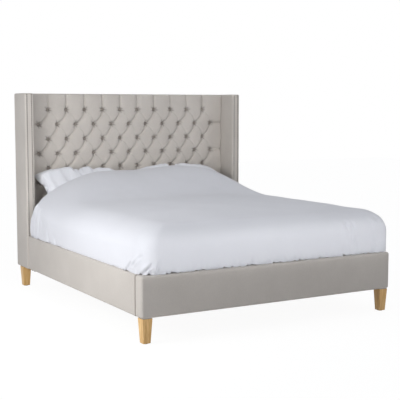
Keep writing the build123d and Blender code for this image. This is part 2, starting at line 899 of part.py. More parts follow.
# Stations of the duvet: shares of the foot's round, then shares of the way on to the head edge
duvet_foot_shares = [0.01, 0.05, 0.14, 0.30, 0.55, 1.0]
duvet_length_shares = [0.25, 0.5, 0.62, 0.7, 0.77, 0.84, 0.91, 1.03]
duvet_side_bulge_share = 0.05
duvet_shoulder_bulge_share = 0.27
duvet_hump_side_share = 0.95
duvet_hump_bulge_share = 0.04


def rounded(distance, radius):
    """How far a quarter round has risen, from 0 to 1, at a distance from its start."""
    left = 1 - min(distance / radius, 1)
    return math.sqrt(1 - left ** 2)


def eased(share):
    """A smooth step from 0 to 1."""
    share = min(max(share, 0), 1)
    return share ** 2 * (3 - 2 * share)


def bulged(start, end, share, y):
    """An arc between two points of a slice, bowed away from the middle of the bed."""
    (x0, z0), (x1, z1) = start, end
    out = 1 if x0 + x1 > 0 else -1
    push_x, push_z = out * abs(z1 - z0) * share, abs(x1 - x0) * share
    middle = ((x0 + x1) / 2 + push_x, y, (z0 + z1) / 2 + push_z)
    return Edge.make_three_point_arc((x0, y, z0), middle, (x1, y, z1))


def duvet_slice(y):
    """A slice across the duvet: its hem, its widest line, its shoulders and its crown."""
    distance = y - duvet_foot
    width = duvet_half_width - duvet_plan_radius * (1 - rounded(distance, duvet_plan_radius))
    profile = rounded(distance, duvet_foot_radius)
    hem = rail_top + duvet_hem_gap
    hem_z = duvet_wide_height - (duvet_wide_height - hem) * rounded(distance, duvet_foot_tuck)
    hump = duvet_hump * eased((y - duvet_hump_start) / (duvet_head - duvet_hump_start))
    top = duvet_wide_height + (duvet_top - duvet_wide_height) * profile
    shoulder_z = top - duvet_shoulder_drop * profile + hump * duvet_hump_side_share
    run = duvet_shoulder_run + duvet_hump_run * hump / duvet_hump
    bulge = duvet_shoulder_bulge_share + duvet_hump_bulge_share * hump / duvet_hump
    hem_at = (width - duvet_hem_tuck, hem_z)
    wide_at = (width, duvet_wide_height)
    shoulder_at = (width - run, shoulder_z)

    def mirrored(point):
        return (-point[0], point[1])

    return Face(Wire([
        Edge.make_line((-hem_at[0], y, hem_at[1]), (hem_at[0], y, hem_at[1])),
        bulged(hem_at, wide_at, duvet_side_bulge_share, y),
        bulged(wide_at, shoulder_at, bulge, y),
        Edge.make_three_point_arc((shoulder_at[0], y, shoulder_at[1]), (0, y, top + hump + duvet_crown * profile),
                                  (-shoulder_at[0], y, shoulder_at[1])),
        bulged(mirrored(shoulder_at), mirrored(wide_at), bulge, y),
        bulged(mirrored(wide_at), mirrored(hem_at), duvet_side_bulge_share, y),
    ]))


def duvet_stations():
    """Where the slices lie along the bed."""
    rounds = [duvet_foot + share * duvet_foot_radius for share in duvet_foot_shares]
    way = duvet_head - rounds[-1]
    return rounds + [rounds[-1] + share * way for share in duvet_length_shares]


def duvet_reach():
    """The plan of the duvet: a curved head edge, and side drapes that slant down to the wings."""
    radius = (duvet_half_width ** 2 + duvet_head_sweep ** 2) / (2 * duvet_head_sweep)
    tall = duvet_top + duvet_hump
    disc = Pos(0, duvet_head - radius, tall / 2) * Cylinder(radius, 2 * tall)
    low = rail_top - overrun
    drop = duvet_slant_top - low
    top_y = duvet_slant_head
    end_y = wing_front - duvet_wing_gap
    slant_y = top_y + duvet_slant_run * drop / duvet_slant_drop
    side = Polyline((front, low), (slant_y, low), (top_y, duvet_slant_top), (front, duvet_slant_top), (front, low))
    plane = Plane(origin=(-wing_span, 0, 0), x_dir=(0, 1, 0), z_dir=(1, 0, 0))
    drapes = Solid.extrude((plane * make_face(side)).face(), Vector(2 * wing_span, 0, 0))
    drapes &= block(-wing_span, wing_span, front, end_y, 0, headboard_height)
    return disc + drapes


def pillow_room(upper_x, lower_x):
    """The hollow for an upper and a lower pillow, open downwards so that the duvet lifts off."""
    gap = duvet_pillow_gap
    half = pillow_length / 2 + gap
    top = upper_pillow_place(upper_x) * pillow_body(pillow_rise + gap, pillow_fall)
    seam_front = upper_pillow_height - pillow_width / 2 * math.sin(math.radians(pillow_tilt))
    skirt = block(min(upper_x, lower_x) - half, max(upper_x, lower_x) + half,
                  lower_pillow_y - pillow_width / 2 - gap, rear, mattress_top - overrun, seam_front)
    deep = upper_pillow_height - mattress_top
    under = block(-half, half, -pillow_width / 2 - gap, pillow_width, -deep, 0)
    return [top, skirt, upper_pillow_place(upper_x) * under]


duvet_foot_fold_shares = [-0.86, -0.34, 0.22, 0.70, 0.86]
duvet_side_fold_shares = [-0.72, 0.52, 0.68, 0.78]
duvet_foot_fold_height_share = 0.7
duvet_side_fold_height_share = 0.6


def duvet_fold(height_share):
    """A tapered hollow that runs up from the hem."""
    height = (duvet_top - rail_top) * height_share
    return Cone(duvet_fold_radius, duvet_fold_radius / 3, height, align=(Align.CENTER, Align.CENTER, Align.MIN))


def foot_draw(x):
    """How far the foot's face is drawn back at a place across the bed."""
    past = max(abs(x) - (duvet_half_width - duvet_plan_radius), 0) / duvet_plan_radius
    return duvet_plan_radius * (1 - math.sqrt(1 - past ** 2))


def duvet_folds():
    """Main folds of the drape, round the foot and along both sides."""
    outside = duvet_fold_radius - duvet_fold_bite
    tools = []
    for share in duvet_foot_fold_shares:
        x = share * duvet_half_width
        tools.append(Pos(x, duvet_foot - outside + foot_draw(x), rail_top) * duvet_fold(duvet_foot_fold_height_share))
    for share in duvet_side_fold_shares:
        for side in (-1, 1):
            x = side * (duvet_half_width + outside)
            tools.append(Pos(x, share * rear, rail_top) * duvet_fold(duvet_side_fold_height_share))
    return tools


def duvet():
    """The duvet over mattress and pillows, with its drape, its shoulders and its main folds."""
    body = loft([duvet_slice(y) for y in duvet_stations()], ruled=True)
    body &= duvet_reach()
    gap = duvet_mattress_gap
    half = mattress_width / 2 + gap
    body -= block(-half, half, mattress_foot - gap, rear, ground_clearance, mattress_top + soft_gap)
    body -= pillow_room(upper_pillow_left, lower_pillow_left)
    body -= pillow_room(upper_pillow_right, lower_pillow_right)
    return body - duvet_folds()


# Every piece, by the name of its node

def parts():
    """All the nodes of the bed: a solid, or a list of separate solids, for each name."""
    rows = slat_rows()
    centre_half = centre_leg_spacing / 2
    legs = leg_places()
    made = {
        "headboard_post_left": headboard_post(-1),
        "headboard_post_right": headboard_post(1),
        "headboard_top_rail": headboard_rail(top_rail_bottom, headboard_rail_height),
        "headboard_middle_rail": headboard_rail(middle_rail_bottom, headboard_rail_height),
        "headboard_bottom_rail": headboard_rail(ground_clearance, headboard_foot_rail_height),
        "headboard_stiles": headboard_stiles(),
        "headboard_ply": block(-wing_inner, wing_inner, ply_front, post_front, ground_clearance, carcass_top),
        "headboard_pad": headboard_pad(),
        "tuft_buttons": [tuft_button(x, z) for row in button_rows_of_places() for x, z in row],
        "back_cloth": back_cloth(),
        "wing_bolts": make_bolts(wing_bolt_places()),
        "cleat_screws": [screw(*place) for place in screw_places()],
        "footboard_frame": footboard_frame(),
        "footboard_front_panel": footboard_skin(foot_core_front, foot_core_front + footboard_panel),
        "footboard_rear_panel": footboard_skin(foot_core_rear - footboard_panel, foot_core_rear),
        "footboard_cover": footboard_cover(),
        "leg_plates": [leg_plate(x, y) for x, y in legs.values()],
        "leg_bolts": [leg_bolt_at(x, y) for x, y in legs.values()],
        "leg_glides": [leg_glide(x, y) for x, y in legs.values()],
        "centre_beam": centre_beam(),
        "beam_hangers": [beam_hanger(footboard_inner, 1), beam_hanger(ply_front, -1)],
        "centre_leg_front": centre_leg(-centre_half),
        "centre_leg_rear": centre_leg(centre_half),
        "levelling_foot_front": levelling_foot(-centre_half),
        "levelling_foot_rear": levelling_foot(centre_half),
        "slat_holders_centre": [centre_holder(y) for y in rows],
        "foot_brackets": both_sides(foot_bracket),
        "head_brackets": both_sides(head_bracket),
        "bracket_bolts": make_bolts(bracket_bolt_places()),
        "joint_straps": both_sides(joint_strap),
        "strap_bolts": [bolt(o, d, grip, bolt_diameter, strap_bolt_head_width, strap_bolt_head_height)
                        for o, d, grip in strap_bolt_places()],
        "mattress": mattress(),
        "mattress_piping": mattress_piping(),
        "pillow_upper_left": upper_pillow(upper_pillow_left),
        "pillow_upper_right": upper_pillow(upper_pillow_right),
        "pillow_lower_left": lower_pillow(lower_pillow_left),
        "pillow_lower_right": lower_pillow(lower_pillow_right),
        "duvet": duvet(),
    }
    for name, side in (("left", -1), ("right", 1)):
        made[f"wing_frame_{name}"] = wing_frame(side)
        made[f"wing_cover_{name}"] = wing_cover(side)
        made[f"wing_nails_{name}"] = wing_nails(side)
        made[f"rail_board_{name}"] = rail_board(side)
        made[f"rail_cover_{name}"] = rail_cover(side)
        made[f"rail_cleat_{name}"] = rail_cleat(side)
        made[f"slats_{name}"] = [slat(side, y) for y in rows]
        made[f"slat_holders_{name}"] = [side_holder(side, y) for y in rows]
    for name, (x, y) in legs.items():
        made[name] = leg(x, y)
    return made


os.makedirs("parts", exist_ok=True)
for node, shape in parts().items():
    solids = shape if isinstance(shape, list) else [shape]
    whole = Compound(children=[solid for item in solids for solid in item.solids()])
    export_step(whole, f"parts/{node}.step")
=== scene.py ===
"""The looks of the wingback bed: linen, cotton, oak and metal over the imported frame.

Metres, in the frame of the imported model: X across the bed, +Y towards the headboard, +Z up.
"""
import json
import math

import bmesh
import bpy
import numpy as np
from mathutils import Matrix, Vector
from mathutils.bvhtree import BVHTree


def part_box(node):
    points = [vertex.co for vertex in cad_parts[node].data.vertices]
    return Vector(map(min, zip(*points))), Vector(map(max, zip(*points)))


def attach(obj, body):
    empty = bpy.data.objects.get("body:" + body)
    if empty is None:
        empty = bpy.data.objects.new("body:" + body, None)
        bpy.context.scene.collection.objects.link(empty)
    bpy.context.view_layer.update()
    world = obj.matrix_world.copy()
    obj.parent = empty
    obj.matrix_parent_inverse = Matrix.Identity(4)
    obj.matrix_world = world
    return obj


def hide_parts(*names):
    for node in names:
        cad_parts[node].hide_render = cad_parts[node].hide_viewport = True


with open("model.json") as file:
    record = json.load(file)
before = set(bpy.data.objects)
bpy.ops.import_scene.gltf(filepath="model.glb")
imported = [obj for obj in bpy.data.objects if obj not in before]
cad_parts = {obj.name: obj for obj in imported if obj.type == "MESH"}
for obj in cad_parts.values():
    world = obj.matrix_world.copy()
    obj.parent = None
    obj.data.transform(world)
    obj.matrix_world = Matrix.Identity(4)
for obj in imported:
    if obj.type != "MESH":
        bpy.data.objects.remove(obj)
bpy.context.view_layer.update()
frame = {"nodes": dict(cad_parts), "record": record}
nodes = frame["nodes"]
scene = bpy.context.scene

mm = 0.001
full_turn = 2 * math.pi
tiny = 1e-9


# Small helpers for shapes

def eased(share):
    """A smooth step from 0 to 1."""
    share = np.clip(share, 0, 1)
    return share * share * (3 - 2 * share)


def ramp(value, start, length):
    """A smooth step from 0 to 1 that begins at a start and takes a length."""
    return eased((value - start) / length)


def between(low, high, share):
    """The value at a share of the way from low to high."""
    return low + (high - low) * share


def bell(distance, width):
    """A bump of height 1 that fades over a width."""
    return np.exp(-((distance / width) ** 2))


def fold_distance(points, start, end):
    """The distance of points from a line in space, and the share of the way along it."""
    start, end = np.array(start), np.array(end)
    along = end - start
    share = np.clip((points - start) @ along / (along @ along), 0, 1)
    return np.linalg.norm(points - start - share[..., None] * along, axis=-1), share


def ripple(places, lengths, seed):
    """A wandering line made of waves with the given lengths, from about -1 to 1."""
    turns = np.random.default_rng(seed)
    total = np.zeros_like(places)
    for length in lengths:
        total += np.sin(full_turn * places / length + turns.uniform(0, full_turn))
    return total / len(lengths)


def make_piece(name, points, faces, body, slot, material=None):
    """A mesh that rides on a body and takes its finish from a slot, unless it has a material of its own."""
    mesh = bpy.data.meshes.new(name)
    mesh.from_pydata(points.tolist(), [], faces)
    mesh.validate()
    mesh.update()
    return finish_piece(bpy.data.objects.new(name, mesh), body, slot, material)


def finish_piece(piece, body, slot, material=None, sharp=40):
    """Links a piece, shades it smooth between sharp edges, and gives it its body, slot and material."""
    if piece.name not in scene.collection.objects:
        scene.collection.objects.link(piece)
    mesh = piece.data
    mesh.polygons.foreach_set("use_smooth", [True] * len(mesh.polygons))
    mesh.set_sharp_from_angle(angle=math.radians(sharp))
    mesh.materials.clear()
    mesh.materials.append(material or finishes[slot])
    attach(piece, body)
    return piece


def grid_faces(rows, columns, first=0, flip=False):
    """Quads over a grid of points that are numbered row by row."""
    numbers = np.arange(rows * columns).reshape(rows, columns) + first
    corners = [numbers[:-1, :-1], numbers[1:, :-1], numbers[1:, 1:], numbers[:-1, 1:]]
    quads = np.stack([c.ravel() for c in corners], axis=1)
    return (quads[:, ::-1] if flip else quads).tolist()


edge_turns = 4


def axis_stops(low, high, radius, step):
    """Grid lines along one side of a box, close together over its rounded edges."""
    turn = radius * np.tan(np.linspace(math.pi / 4, 0, edge_turns + 1))
    first, last = low + radius - turn, high - radius + turn[::-1]
    count = max(round((last[0] - first[-1]) / step), 1)
    return np.concatenate([first, np.linspace(first[-1], last[0], count + 1)[1:-1], last])


def soft_box(low, high, radius, steps):
    """Points, outward directions and quads of a box with rounded edges."""
    low, high = np.array(low), np.array(high)
    stops = [axis_stops(low[k], high[k], radius, steps[k]) for k in range(3)]
    points, quads, count = [], [], 0
    for k in range(3):
        i, j = (k + 1) % 3, (k + 2) % 3
        a, b = np.meshgrid(stops[i], stops[j], indexing="ij")
        for side, level in enumerate((low[k], high[k])):
            face = np.zeros((a.size, 3))
            face[:, i], face[:, j], face[:, k] = a.ravel(), b.ravel(), level
            quads += grid_faces(*a.shape, first=count, flip=side == 0)
            points.append(face)
            count += a.size
    points, twin = np.unique(np.round(np.vstack(points), 6), axis=0, return_inverse=True)
    core = np.clip(points, low + radius, high - radius)
    out = points - core
    out /= np.linalg.norm(out, axis=1)[:, None]
    return core + radius * out, out, twin.ravel()[np.array(quads)].tolist()


def hollow_out(piece, low, high):
    """Cuts a box out of a piece: the room for the timber that it covers."""
    points, _, quads = soft_box(low, high, mm, (1, 1, 1))
    mesh = bpy.data.meshes.new("room")
    mesh.from_pydata(points.tolist(), [], quads)
    cutter = bpy.data.objects.new("room", mesh)
    scene.collection.objects.link(cutter)
    cut = piece.modifiers.new("room", "BOOLEAN")
    cut.object, cut.operation, cut.solver = cutter, "DIFFERENCE", "EXACT"
    settled = bpy.data.meshes.new_from_object(piece.evaluated_get(bpy.context.evaluated_depsgraph_get()))
    piece.modifiers.clear()
    piece.data = settled
    bpy.data.objects.remove(cutter)


# Materials

def srgb(*levels):
    """A colour given by its levels on the screen, 0 to 255."""
    shares = [level / 255 for level in levels]
    linear = [s / 12.92 if s <= 0.04045 else ((s + 0.055) / 1.055) ** 2.4 for s in shares]
    return (*linear, 1.0)


def add_node(tree, kind, inputs=None, **settings):
    """A node with its settings, its fixed values and its links."""
    made = tree.nodes.new(kind)
    for name, value in settings.items():
        setattr(made, name, value)
    for name, value in (inputs or {}).items():
        if isinstance(value, bpy.types.NodeSocket):
            tree.links.new(value, made.inputs[name])
        else:
            made.inputs[name].default_value = value
    return made


def maths(tree, operation, first, second=None):
    """A sum on one or two values or sockets."""
    inputs = {0: first} if second is None else {0: first, 1: second}
    return add_node(tree, "ShaderNodeMath", inputs, operation=operation).outputs[0]


def new_effect(name, inputs, outputs):
    """A shader node group with named inputs and outputs."""
    tree = bpy.data.node_groups.new(name, "ShaderNodeTree")
    for label, value in inputs.items():
        kind = "NodeSocketVector" if isinstance(value, tuple) else "NodeSocketFloat"
        tree.interface.new_socket(label, in_out="INPUT", socket_type=kind).default_value = value
    for label in outputs:
        tree.interface.new_socket(label, in_out="OUTPUT", socket_type="NodeSocketFloat")
    return tree, tree.nodes.new("NodeGroupInput").outputs, tree.nodes.new("NodeGroupOutput").inputs


def weave_effect():
    """Crossed threads with slubs: a height and a tone."""
    tree, given, put = new_effect(
        "Woven threads", {"Thread spacing": 1.2 * mm, "Slub": 0.5}, ["Height", "Tone"])
    place = add_node(tree, "ShaderNodeTexCoord").outputs["Object"]
    axes = add_node(tree, "ShaderNodeSeparateXYZ", {0: place}).outputs
    rate = maths(tree, "DIVIDE", full_turn, given["Thread spacing"])
    waves = [maths(tree, "SINE", maths(tree, "MULTIPLY", axis, rate)) for axis in axes]
    threads = maths(tree, "ADD", maths(tree, "ADD", waves[0], waves[1]), waves[2])
    slubs = []
    for scale in ((90, 90, 900), (900, 900, 90)):
        drawn = add_node(tree, "ShaderNodeMapping", {"Vector": place, "Scale": scale}).outputs[0]
        streaks = add_node(tree, "ShaderNodeTexNoise", {"Vector": drawn, "Scale": 1.0, "Detail": 2.0})
        slubs.append(streaks.outputs[0])
    slub = maths(tree, "SUBTRACT", maths(tree, "ADD", slubs[0], slubs[1]), 1.0)
    weighed = maths(tree, "MULTIPLY", slub, given["Slub"])
    tree.links.new(maths(tree, "ADD", maths(tree, "MULTIPLY", threads, 0.25), weighed), put["Height"])
    tree.links.new(maths(tree, "ADD", weighed, 0.5), put["Tone"])
    return tree


def mottling_effect():
    """Slow changes of tone over a surface, about 0.5."""
    tree, given, put = new_effect("Slow mottling", {"Scale": 4.0, "Amount": 0.3}, ["Tone"])
    place = add_node(tree, "ShaderNodeTexCoord").outputs["Object"]
    patches = add_node(tree, "ShaderNodeTexNoise", {
        "Vector": place, "Scale": given["Scale"], "Detail": 3.0, "Roughness": 0.55}).outputs[0]
    swing = maths(tree, "MULTIPLY", maths(tree, "SUBTRACT", patches, 0.5), given["Amount"])
    tree.links.new(maths(tree, "ADD", swing, 0.5), put["Tone"])
    return tree


def grain_effect():
    """Wood grain drawn out along one axis: a tone and a height."""
    tree, given, put = new_effect("Wood grain", {"Stretch": (30, 30, 2), "Bands": 2.0}, ["Tone", "Height"])
    place = add_node(tree, "ShaderNodeTexCoord").outputs["Object"]
    drawn = add_node(tree, "ShaderNodeMapping", {"Vector": place, "Scale": given["Stretch"]}).outputs[0]
    bands = add_node(tree, "ShaderNodeTexNoise", {
        "Vector": drawn, "Scale": given["Bands"], "Detail": 5.0, "Roughness": 0.62,
        "Distortion": 0.6}).outputs[0]
    fine = add_node(tree, "ShaderNodeMapping", {"Vector": drawn, "Scale": (6, 6, 6)}).outputs[0]
    pores = add_node(tree, "ShaderNodeTexNoise", {
        "Vector": fine, "Scale": given["Bands"], "Detail": 2.0}).outputs[0]
    shown = add_node(tree, "ShaderNodeMapRange", {
        "Value": bands, "From Min": 0.32, "From Max": 0.68}).outputs[0]
    flecks = maths(tree, "MULTIPLY", maths(tree, "SUBTRACT", pores, 0.5), 0.5)
    tree.links.new(maths(tree, "ADD", shown, flecks), put["Tone"])
    tree.links.new(pores, put["Height"])
    return tree


def handling_effect():
    """Fine brushing and handling marks on metal and plastic, about 0.5."""
    tree, given, put = new_effect("Handling marks", {"Scale": 150.0}, ["Tone"])
    place = add_node(tree, "ShaderNodeTexCoord").outputs["Object"]
    marks = add_node(tree, "ShaderNodeTexNoise", {
        "Vector": place, "Scale": given["Scale"], "Detail": 4.0, "Roughness": 0.7}).outputs[0]
    tree.links.new(marks, put["Tone"])
    return tree


weave, mottling, grain, handling = weave_effect(), mottling_effect(), grain_effect(), handling_effect()


def effect(tree, which, values):
    """One of the shared effects, placed in a material with its own values."""
    return add_node(tree, "ShaderNodeGroup", values, node_tree=which).outputs


def new_material(name, roughness, metallic=0.0):
    """An empty material: its tree and its main shader."""
    material = bpy.data.materials.new(name)
    material.use_nodes = True
    tree = material.node_tree
    shader = tree.nodes["Principled BSDF"]
    shader.inputs["Roughness"].default_value = roughness
    shader.inputs["Metallic"].default_value = metallic
    return material, tree, shader


def two_tone(tree, shader, dark, light, share):
    """Colours the shader between two tones."""
    mix = add_node(tree, "ShaderNodeMix", data_type="RGBA")
    for socket, value in ((mix.inputs[6], dark), (mix.inputs[7], light)):
        socket.default_value = value
    tree.links.new(share, mix.inputs[0])
    tree.links.new(mix.outputs[2], shader.inputs["Base Color"])


def relief(tree, shader, height, depth):
    """Bumps the shader's surface by a height."""
    bump = add_node(tree, "ShaderNodeBump", {"Height": height, "Distance": depth, "Strength": 1.0})
    tree.links.new(bump.outputs[0], shader.inputs["Normal"])


cloth_relief = 0.3 * mm
cloth_roughness, cloth_sheen, cloth_gloss = 0.9, 0.15, 0.2
wood_relief = 0.15 * mm
mark_roughness = 0.3


def cloth(name, dark, light, spacing, slub, patches=(4.0, 0.8), pit_shade=None):
    """A woven cloth: threads, slubs and slow changes of tone, and painted shade in the pits where the mesh
    has them.
    """
    material, tree, shader = new_material(name, cloth_roughness)
    threads = effect(tree, weave, {"Thread spacing": spacing, "Slub": slub})
    slow = effect(tree, mottling, {"Scale": patches[0], "Amount": patches[1]})
    tone = maths(tree, "SUBTRACT", maths(tree, "ADD", threads["Tone"], slow["Tone"]), 0.5)
    two_tone(tree, shader, dark, light, tone)
    if pit_shade:
        # Painted shade: a dark tone mixed into the base colour by the mesh's shade attribute, in the pits and
        # puckers.
        plain = shader.inputs["Base Color"].links[0].from_socket
        deep = add_node(tree, "ShaderNodeAttribute", attribute_name="painted_pit_shade").outputs["Fac"]
        pit_shaded = add_node(tree, "ShaderNodeMix", {0: deep, 6: plain, 7: pit_shade}, data_type="RGBA")
        tree.links.new(pit_shaded.outputs[2], shader.inputs["Base Color"])
    relief(tree, shader, threads["Height"], cloth_relief)
    shader.inputs["Sheen Weight"].default_value = cloth_sheen
    shader.inputs["Specular IOR Level"].default_value = cloth_gloss
    return material


def wood(name, dark, light, stretch, bands, roughness):
    """Planed or lacquered wood with its grain along one axis."""
    material, tree, shader = new_material(name, roughness)
    lines = effect(tree, grain, {"Stretch": stretch, "Bands": bands})
    two_tone(tree, shader, dark, light, lines["Tone"])
    relief(tree, shader, lines["Height"], wood_relief)
    return material


def metal(name, dark, light, roughness, metallic=1.0, scale=150.0):
    """Metal, or hard plastic where metallic is 0, with fine marks."""
    material, tree, shader = new_material(name, roughness, metallic)
    marks = effect(tree, handling, {"Scale": scale})
    two_tone(tree, shader, dark, light, marks["Tone"])
    spread = maths(tree, "MULTIPLY", maths(tree, "SUBTRACT", marks["Tone"], 0.5), mark_roughness)
    tree.links.new(maths(tree, "ADD", spread, roughness), shader.inputs["Roughness"])
    return material


linen_tones = (srgb(183, 177, 170), srgb(203, 197, 190))
linen_threads = (1.3 * mm, 0.9)
cotton_threads = (0.7 * mm, 0.2)
cotton_patches = (3.0, 0.5)

finishes = {
    "linen": cloth("linen", *linen_tones, *linen_threads),
    "dust_cloth": cloth("dust cloth", srgb(24, 24, 26), srgb(40, 40, 42), 2.0 * mm, 0.4),
    "felt": cloth("felt", srgb(60, 54, 48), srgb(84, 76, 68), 0.8 * mm, 1.0),
    "ticking": cloth("ticking", srgb(216, 214, 209), srgb(232, 230, 226), 1.0 * mm, 0.5),
    "pillow_cotton": cloth(
        "pillow cotton", srgb(214, 215, 220), srgb(228, 229, 233), *cotton_threads, cotton_patches),
    "duvet_cotton": cloth(
        "duvet cotton", srgb(208, 209, 214), srgb(222, 223, 228), *cotton_threads, cotton_patches),
    "oak": wood("oak", srgb(196, 150, 84), srgb(234, 196, 136), (26, 26, 2.2), 2.2, 0.42),
    "pine": wood("pine", srgb(186, 150, 100), srgb(222, 192, 146), (3, 26, 26), 1.6, 0.6),
    "plywood": wood("plywood", srgb(178, 148, 106), srgb(208, 180, 138), (2, 14, 8), 1.8, 0.6),
    "birch": wood("birch", srgb(204, 174, 128), srgb(228, 204, 164), (2.5, 24, 24), 1.8, 0.45),
    "nail_metal": metal("nail metal", srgb(28, 25, 22), srgb(58, 53, 47), 0.32),
    "zinc_steel": metal("zinc steel", srgb(150, 152, 156), srgb(186, 188, 192), 0.35),
    "black_steel": metal("black steel", srgb(16, 16, 17), srgb(34, 34, 36), 0.4, metallic=0.0),
    "black_plastic": metal(
        "black plastic", srgb(22, 22, 23), srgb(38, 38, 40), 0.55, metallic=0.0, scale=400.0),
}
for part in frame["record"]["subparts"]:
    nodes[part["node"]].material_slots[0].material = finishes[part["material_slot"]]
# The buttons get a darker copy of the linen: painted shade, as they sit deep in their pits.
nodes["tuft_buttons"].material_slots[0].material = cloth(
    "button linen in painted shade", srgb(150, 142, 134), srgb(170, 162, 153), *linen_threads)
# The pad's linen, with a dark tone of painted shade for its pits and puckers.
pit_shaded_linen = cloth("tufted linen with painted shade", *linen_tones, *linen_threads, pit_shade=srgb(100, 92, 85))


# The headboard's buttoned pad

button_pitch = 159 * mm
button_row_pitch = 117.5 * mm
button_top_margin = 128 * mm
button_rows = 7
wide_row_reach = 10
pad_grid = 4 * mm
pad_side_gap = 0.5 * mm
pad_ply_gap = 2 * mm
pad_side_round = 9 * mm
pad_top_round = 14 * mm
pad_swell = 1.2 * mm
pad_swell_lengths = (0.31, 0.47, 0.83)
pleat_lean = 21 * mm
pleat_depth = 13 * mm
pleat_shares = (1.0, 0.3)
pleat_power, roll_power = 1.15, 3
crease_depth = 6.5 * mm
crease_width = 4 * mm
crease_slope_share = 0.83
button_seat_depth = 29.5 * mm
button_seat_reach = 10.5 * mm
button_pit_reach = 21 * mm
button_pit_power = 1.5
button_area = 64 * mm
pucker_depth = 11 * mm
pucker_reach = 40 * mm
pucker_swing_share = 0.25
pucker_count = 7
pucker_sway = 0.5
pucker_powers = (0.6, 1.3)
star_shade_shares = (1.1, 0.7)
core_shade_reach = 4 * mm
pucker_draw = np.random.default_rng(11)


def draw_in(depth, shade, dx, dz):
    """Pulls the pad's face in round one button: a sunken seat, and puckers like a star, with painted shade in
    both.
    """
    near = np.hypot(dx, dz) < button_area
    far, angle = np.hypot(dx, dz)[near], np.arctan2(dz, dx)[near]
    past = np.clip(far - button_seat_reach, 0, None)
    pull = (1 - eased(past / (button_pit_reach - button_seat_reach))) ** button_pit_power
    start = pucker_draw.uniform(0, full_turn)
    spoke = np.abs(np.sin(pucker_count / 2 * angle + start + pucker_sway * np.sin(angle + start)))
    length = pucker_reach * (1 - pucker_swing_share + pucker_swing_share * np.cos(2 * angle + start))
    sharp, fading = pucker_powers
    puckers = pucker_depth * (1 - spoke ** sharp) * np.clip(1 - past / length, 0, 1) ** fading
    depth[near] = between(depth[near] + puckers, button_seat_depth, pull)
    # Painted shade: dark along the puckers' folds and in a core round the button.
    star = (1 - spoke) * np.clip(star_shade_shares[0] - past / (star_shade_shares[1] * length), 0, 1)
    shade[near] = np.maximum(shade[near], np.maximum(star, 1 - eased(past / core_shade_reach)))


def pad_relief(x, z, top):
    """How far the pad's face lies back from its crown, and how much painted shade its pits and puckers get.
    """
    half_step = button_pitch / 2
    first_row = top - button_top_margin
    row = np.clip((first_row - z) / button_row_pitch, 0, button_rows - 1)
    lean = pleat_lean * np.abs(np.sin(math.pi * row))
    across = np.clip((x - lean) / half_step, -wide_row_reach, wide_row_reach)
    rolls, creases = [], []
    for diagonal, share in zip((across + row, across - row), pleat_shares):
        off = np.abs(diagonal % 2 - 1)
        rolls.append(1 - share * (1 - off) ** roll_power)
        creases.append(share * bell(off * half_step * crease_slope_share, crease_width))
    depth = pleat_depth * (1 - rolls[0] * rolls[1]) ** pleat_power + crease_depth * np.maximum(*creases)
    shade = np.zeros_like(depth)
    for number in range(button_rows):
        reach = wide_row_reach - 1 + number % 2
        for step in range(-reach, reach + 1, 2):
            draw_in(depth, shade, x - step * half_step, z - (first_row - number * button_row_pitch))
    return depth, shade


def edge_roll(distance, radius):
    """How far a rounded edge has fallen back, at a distance in from the edge."""
    left = np.clip(1 - distance / radius, 0, 1)
    return radius * (1 - np.sqrt(1 - left ** 2))


def headboard_upholstery():
    """The deep-buttoned pad: a fine front, and a plain back and lip behind it."""
    low, high = (np.array(corner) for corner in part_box("headboard_pad"))
    low[0] += pad_side_gap
    high[0] -= pad_side_gap
    ply_low, ply_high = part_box("headboard_ply")
    ply_front, lip = ply_low[1], ply_high[2] + mm
    xs, zs = (np.linspace(low[k], high[k], round((high[k] - low[k]) / pad_grid)) for k in (0, 2))
    x, z = np.meshgrid(xs, zs)
    depth, shade = pad_relief(x, z, high[2])
    y = low[1] + depth
    side = np.minimum(x - low[0], high[0] - x)
    y += edge_roll(side, pad_side_round) + edge_roll(high[2] - z, pad_top_round)
    y += pad_swell * ripple(x + 0.4 * z, pad_swell_lengths, seed=3)
    y = np.minimum(y, ply_front - pad_ply_gap)
    rows = [np.stack([x[i], y[i], z[i]], axis=1) for i in range(len(zs))]
    for back, level in ((high[1], high[2] - mm), (high[1], lip), (ply_front, lip), (ply_front, low[2])):
        rows.append(np.stack([xs, np.full_like(xs, back), np.full_like(xs, level)], axis=1))
    count, wide = len(rows), len(xs)
    ends = np.arange(count) * wide
    foot = [*range(count * wide - 1, (count - 1) * wide - 1, -1), *range(wide)]
    faces = grid_faces(count, wide, flip=True) + [foot, ends.tolist(), (ends + wide - 1).tolist()[::-1]]
    piece = make_piece("headboard_upholstery", np.vstack(rows), faces, "frame", "linen", pit_shaded_linen)
    # The painted shade of pits and puckers, stored on the pad's points for its material.
    painted_pit_shade = np.zeros(count * wide)
    painted_pit_shade[:shade.size] = shade.ravel()
    piece.data.attributes.new("painted_pit_shade", "FLOAT", "POINT").data.foreach_set("value", painted_pit_shade)
    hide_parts("headboard_pad")


# Covers of wings, rails and footboard

wing_grid = (4.4 * mm, 14 * mm, 5.6 * mm)
rail_grid = (14 * mm, 16 * mm, 16 * mm)
footboard_grid = (16 * mm, 12 * mm, 14 * mm)
cover_round = 11 * mm
cover_crown = 1.0 * mm
wing_crown = 1.2 * mm
footboard_round = 16 * mm
room_overrun = 20 * mm
rail_end_reach = 12 * mm
rail_end_share = 0.1
nail_pitch = 16.8 * mm
nail_row_offset = 18 * mm
nail_top_margin = 12 * mm
nail_dimple, nail_dimple_width = 1.4 * mm, 5.5 * mm
nail_groove, nail_groove_width = 0.5 * mm, 6 * mm


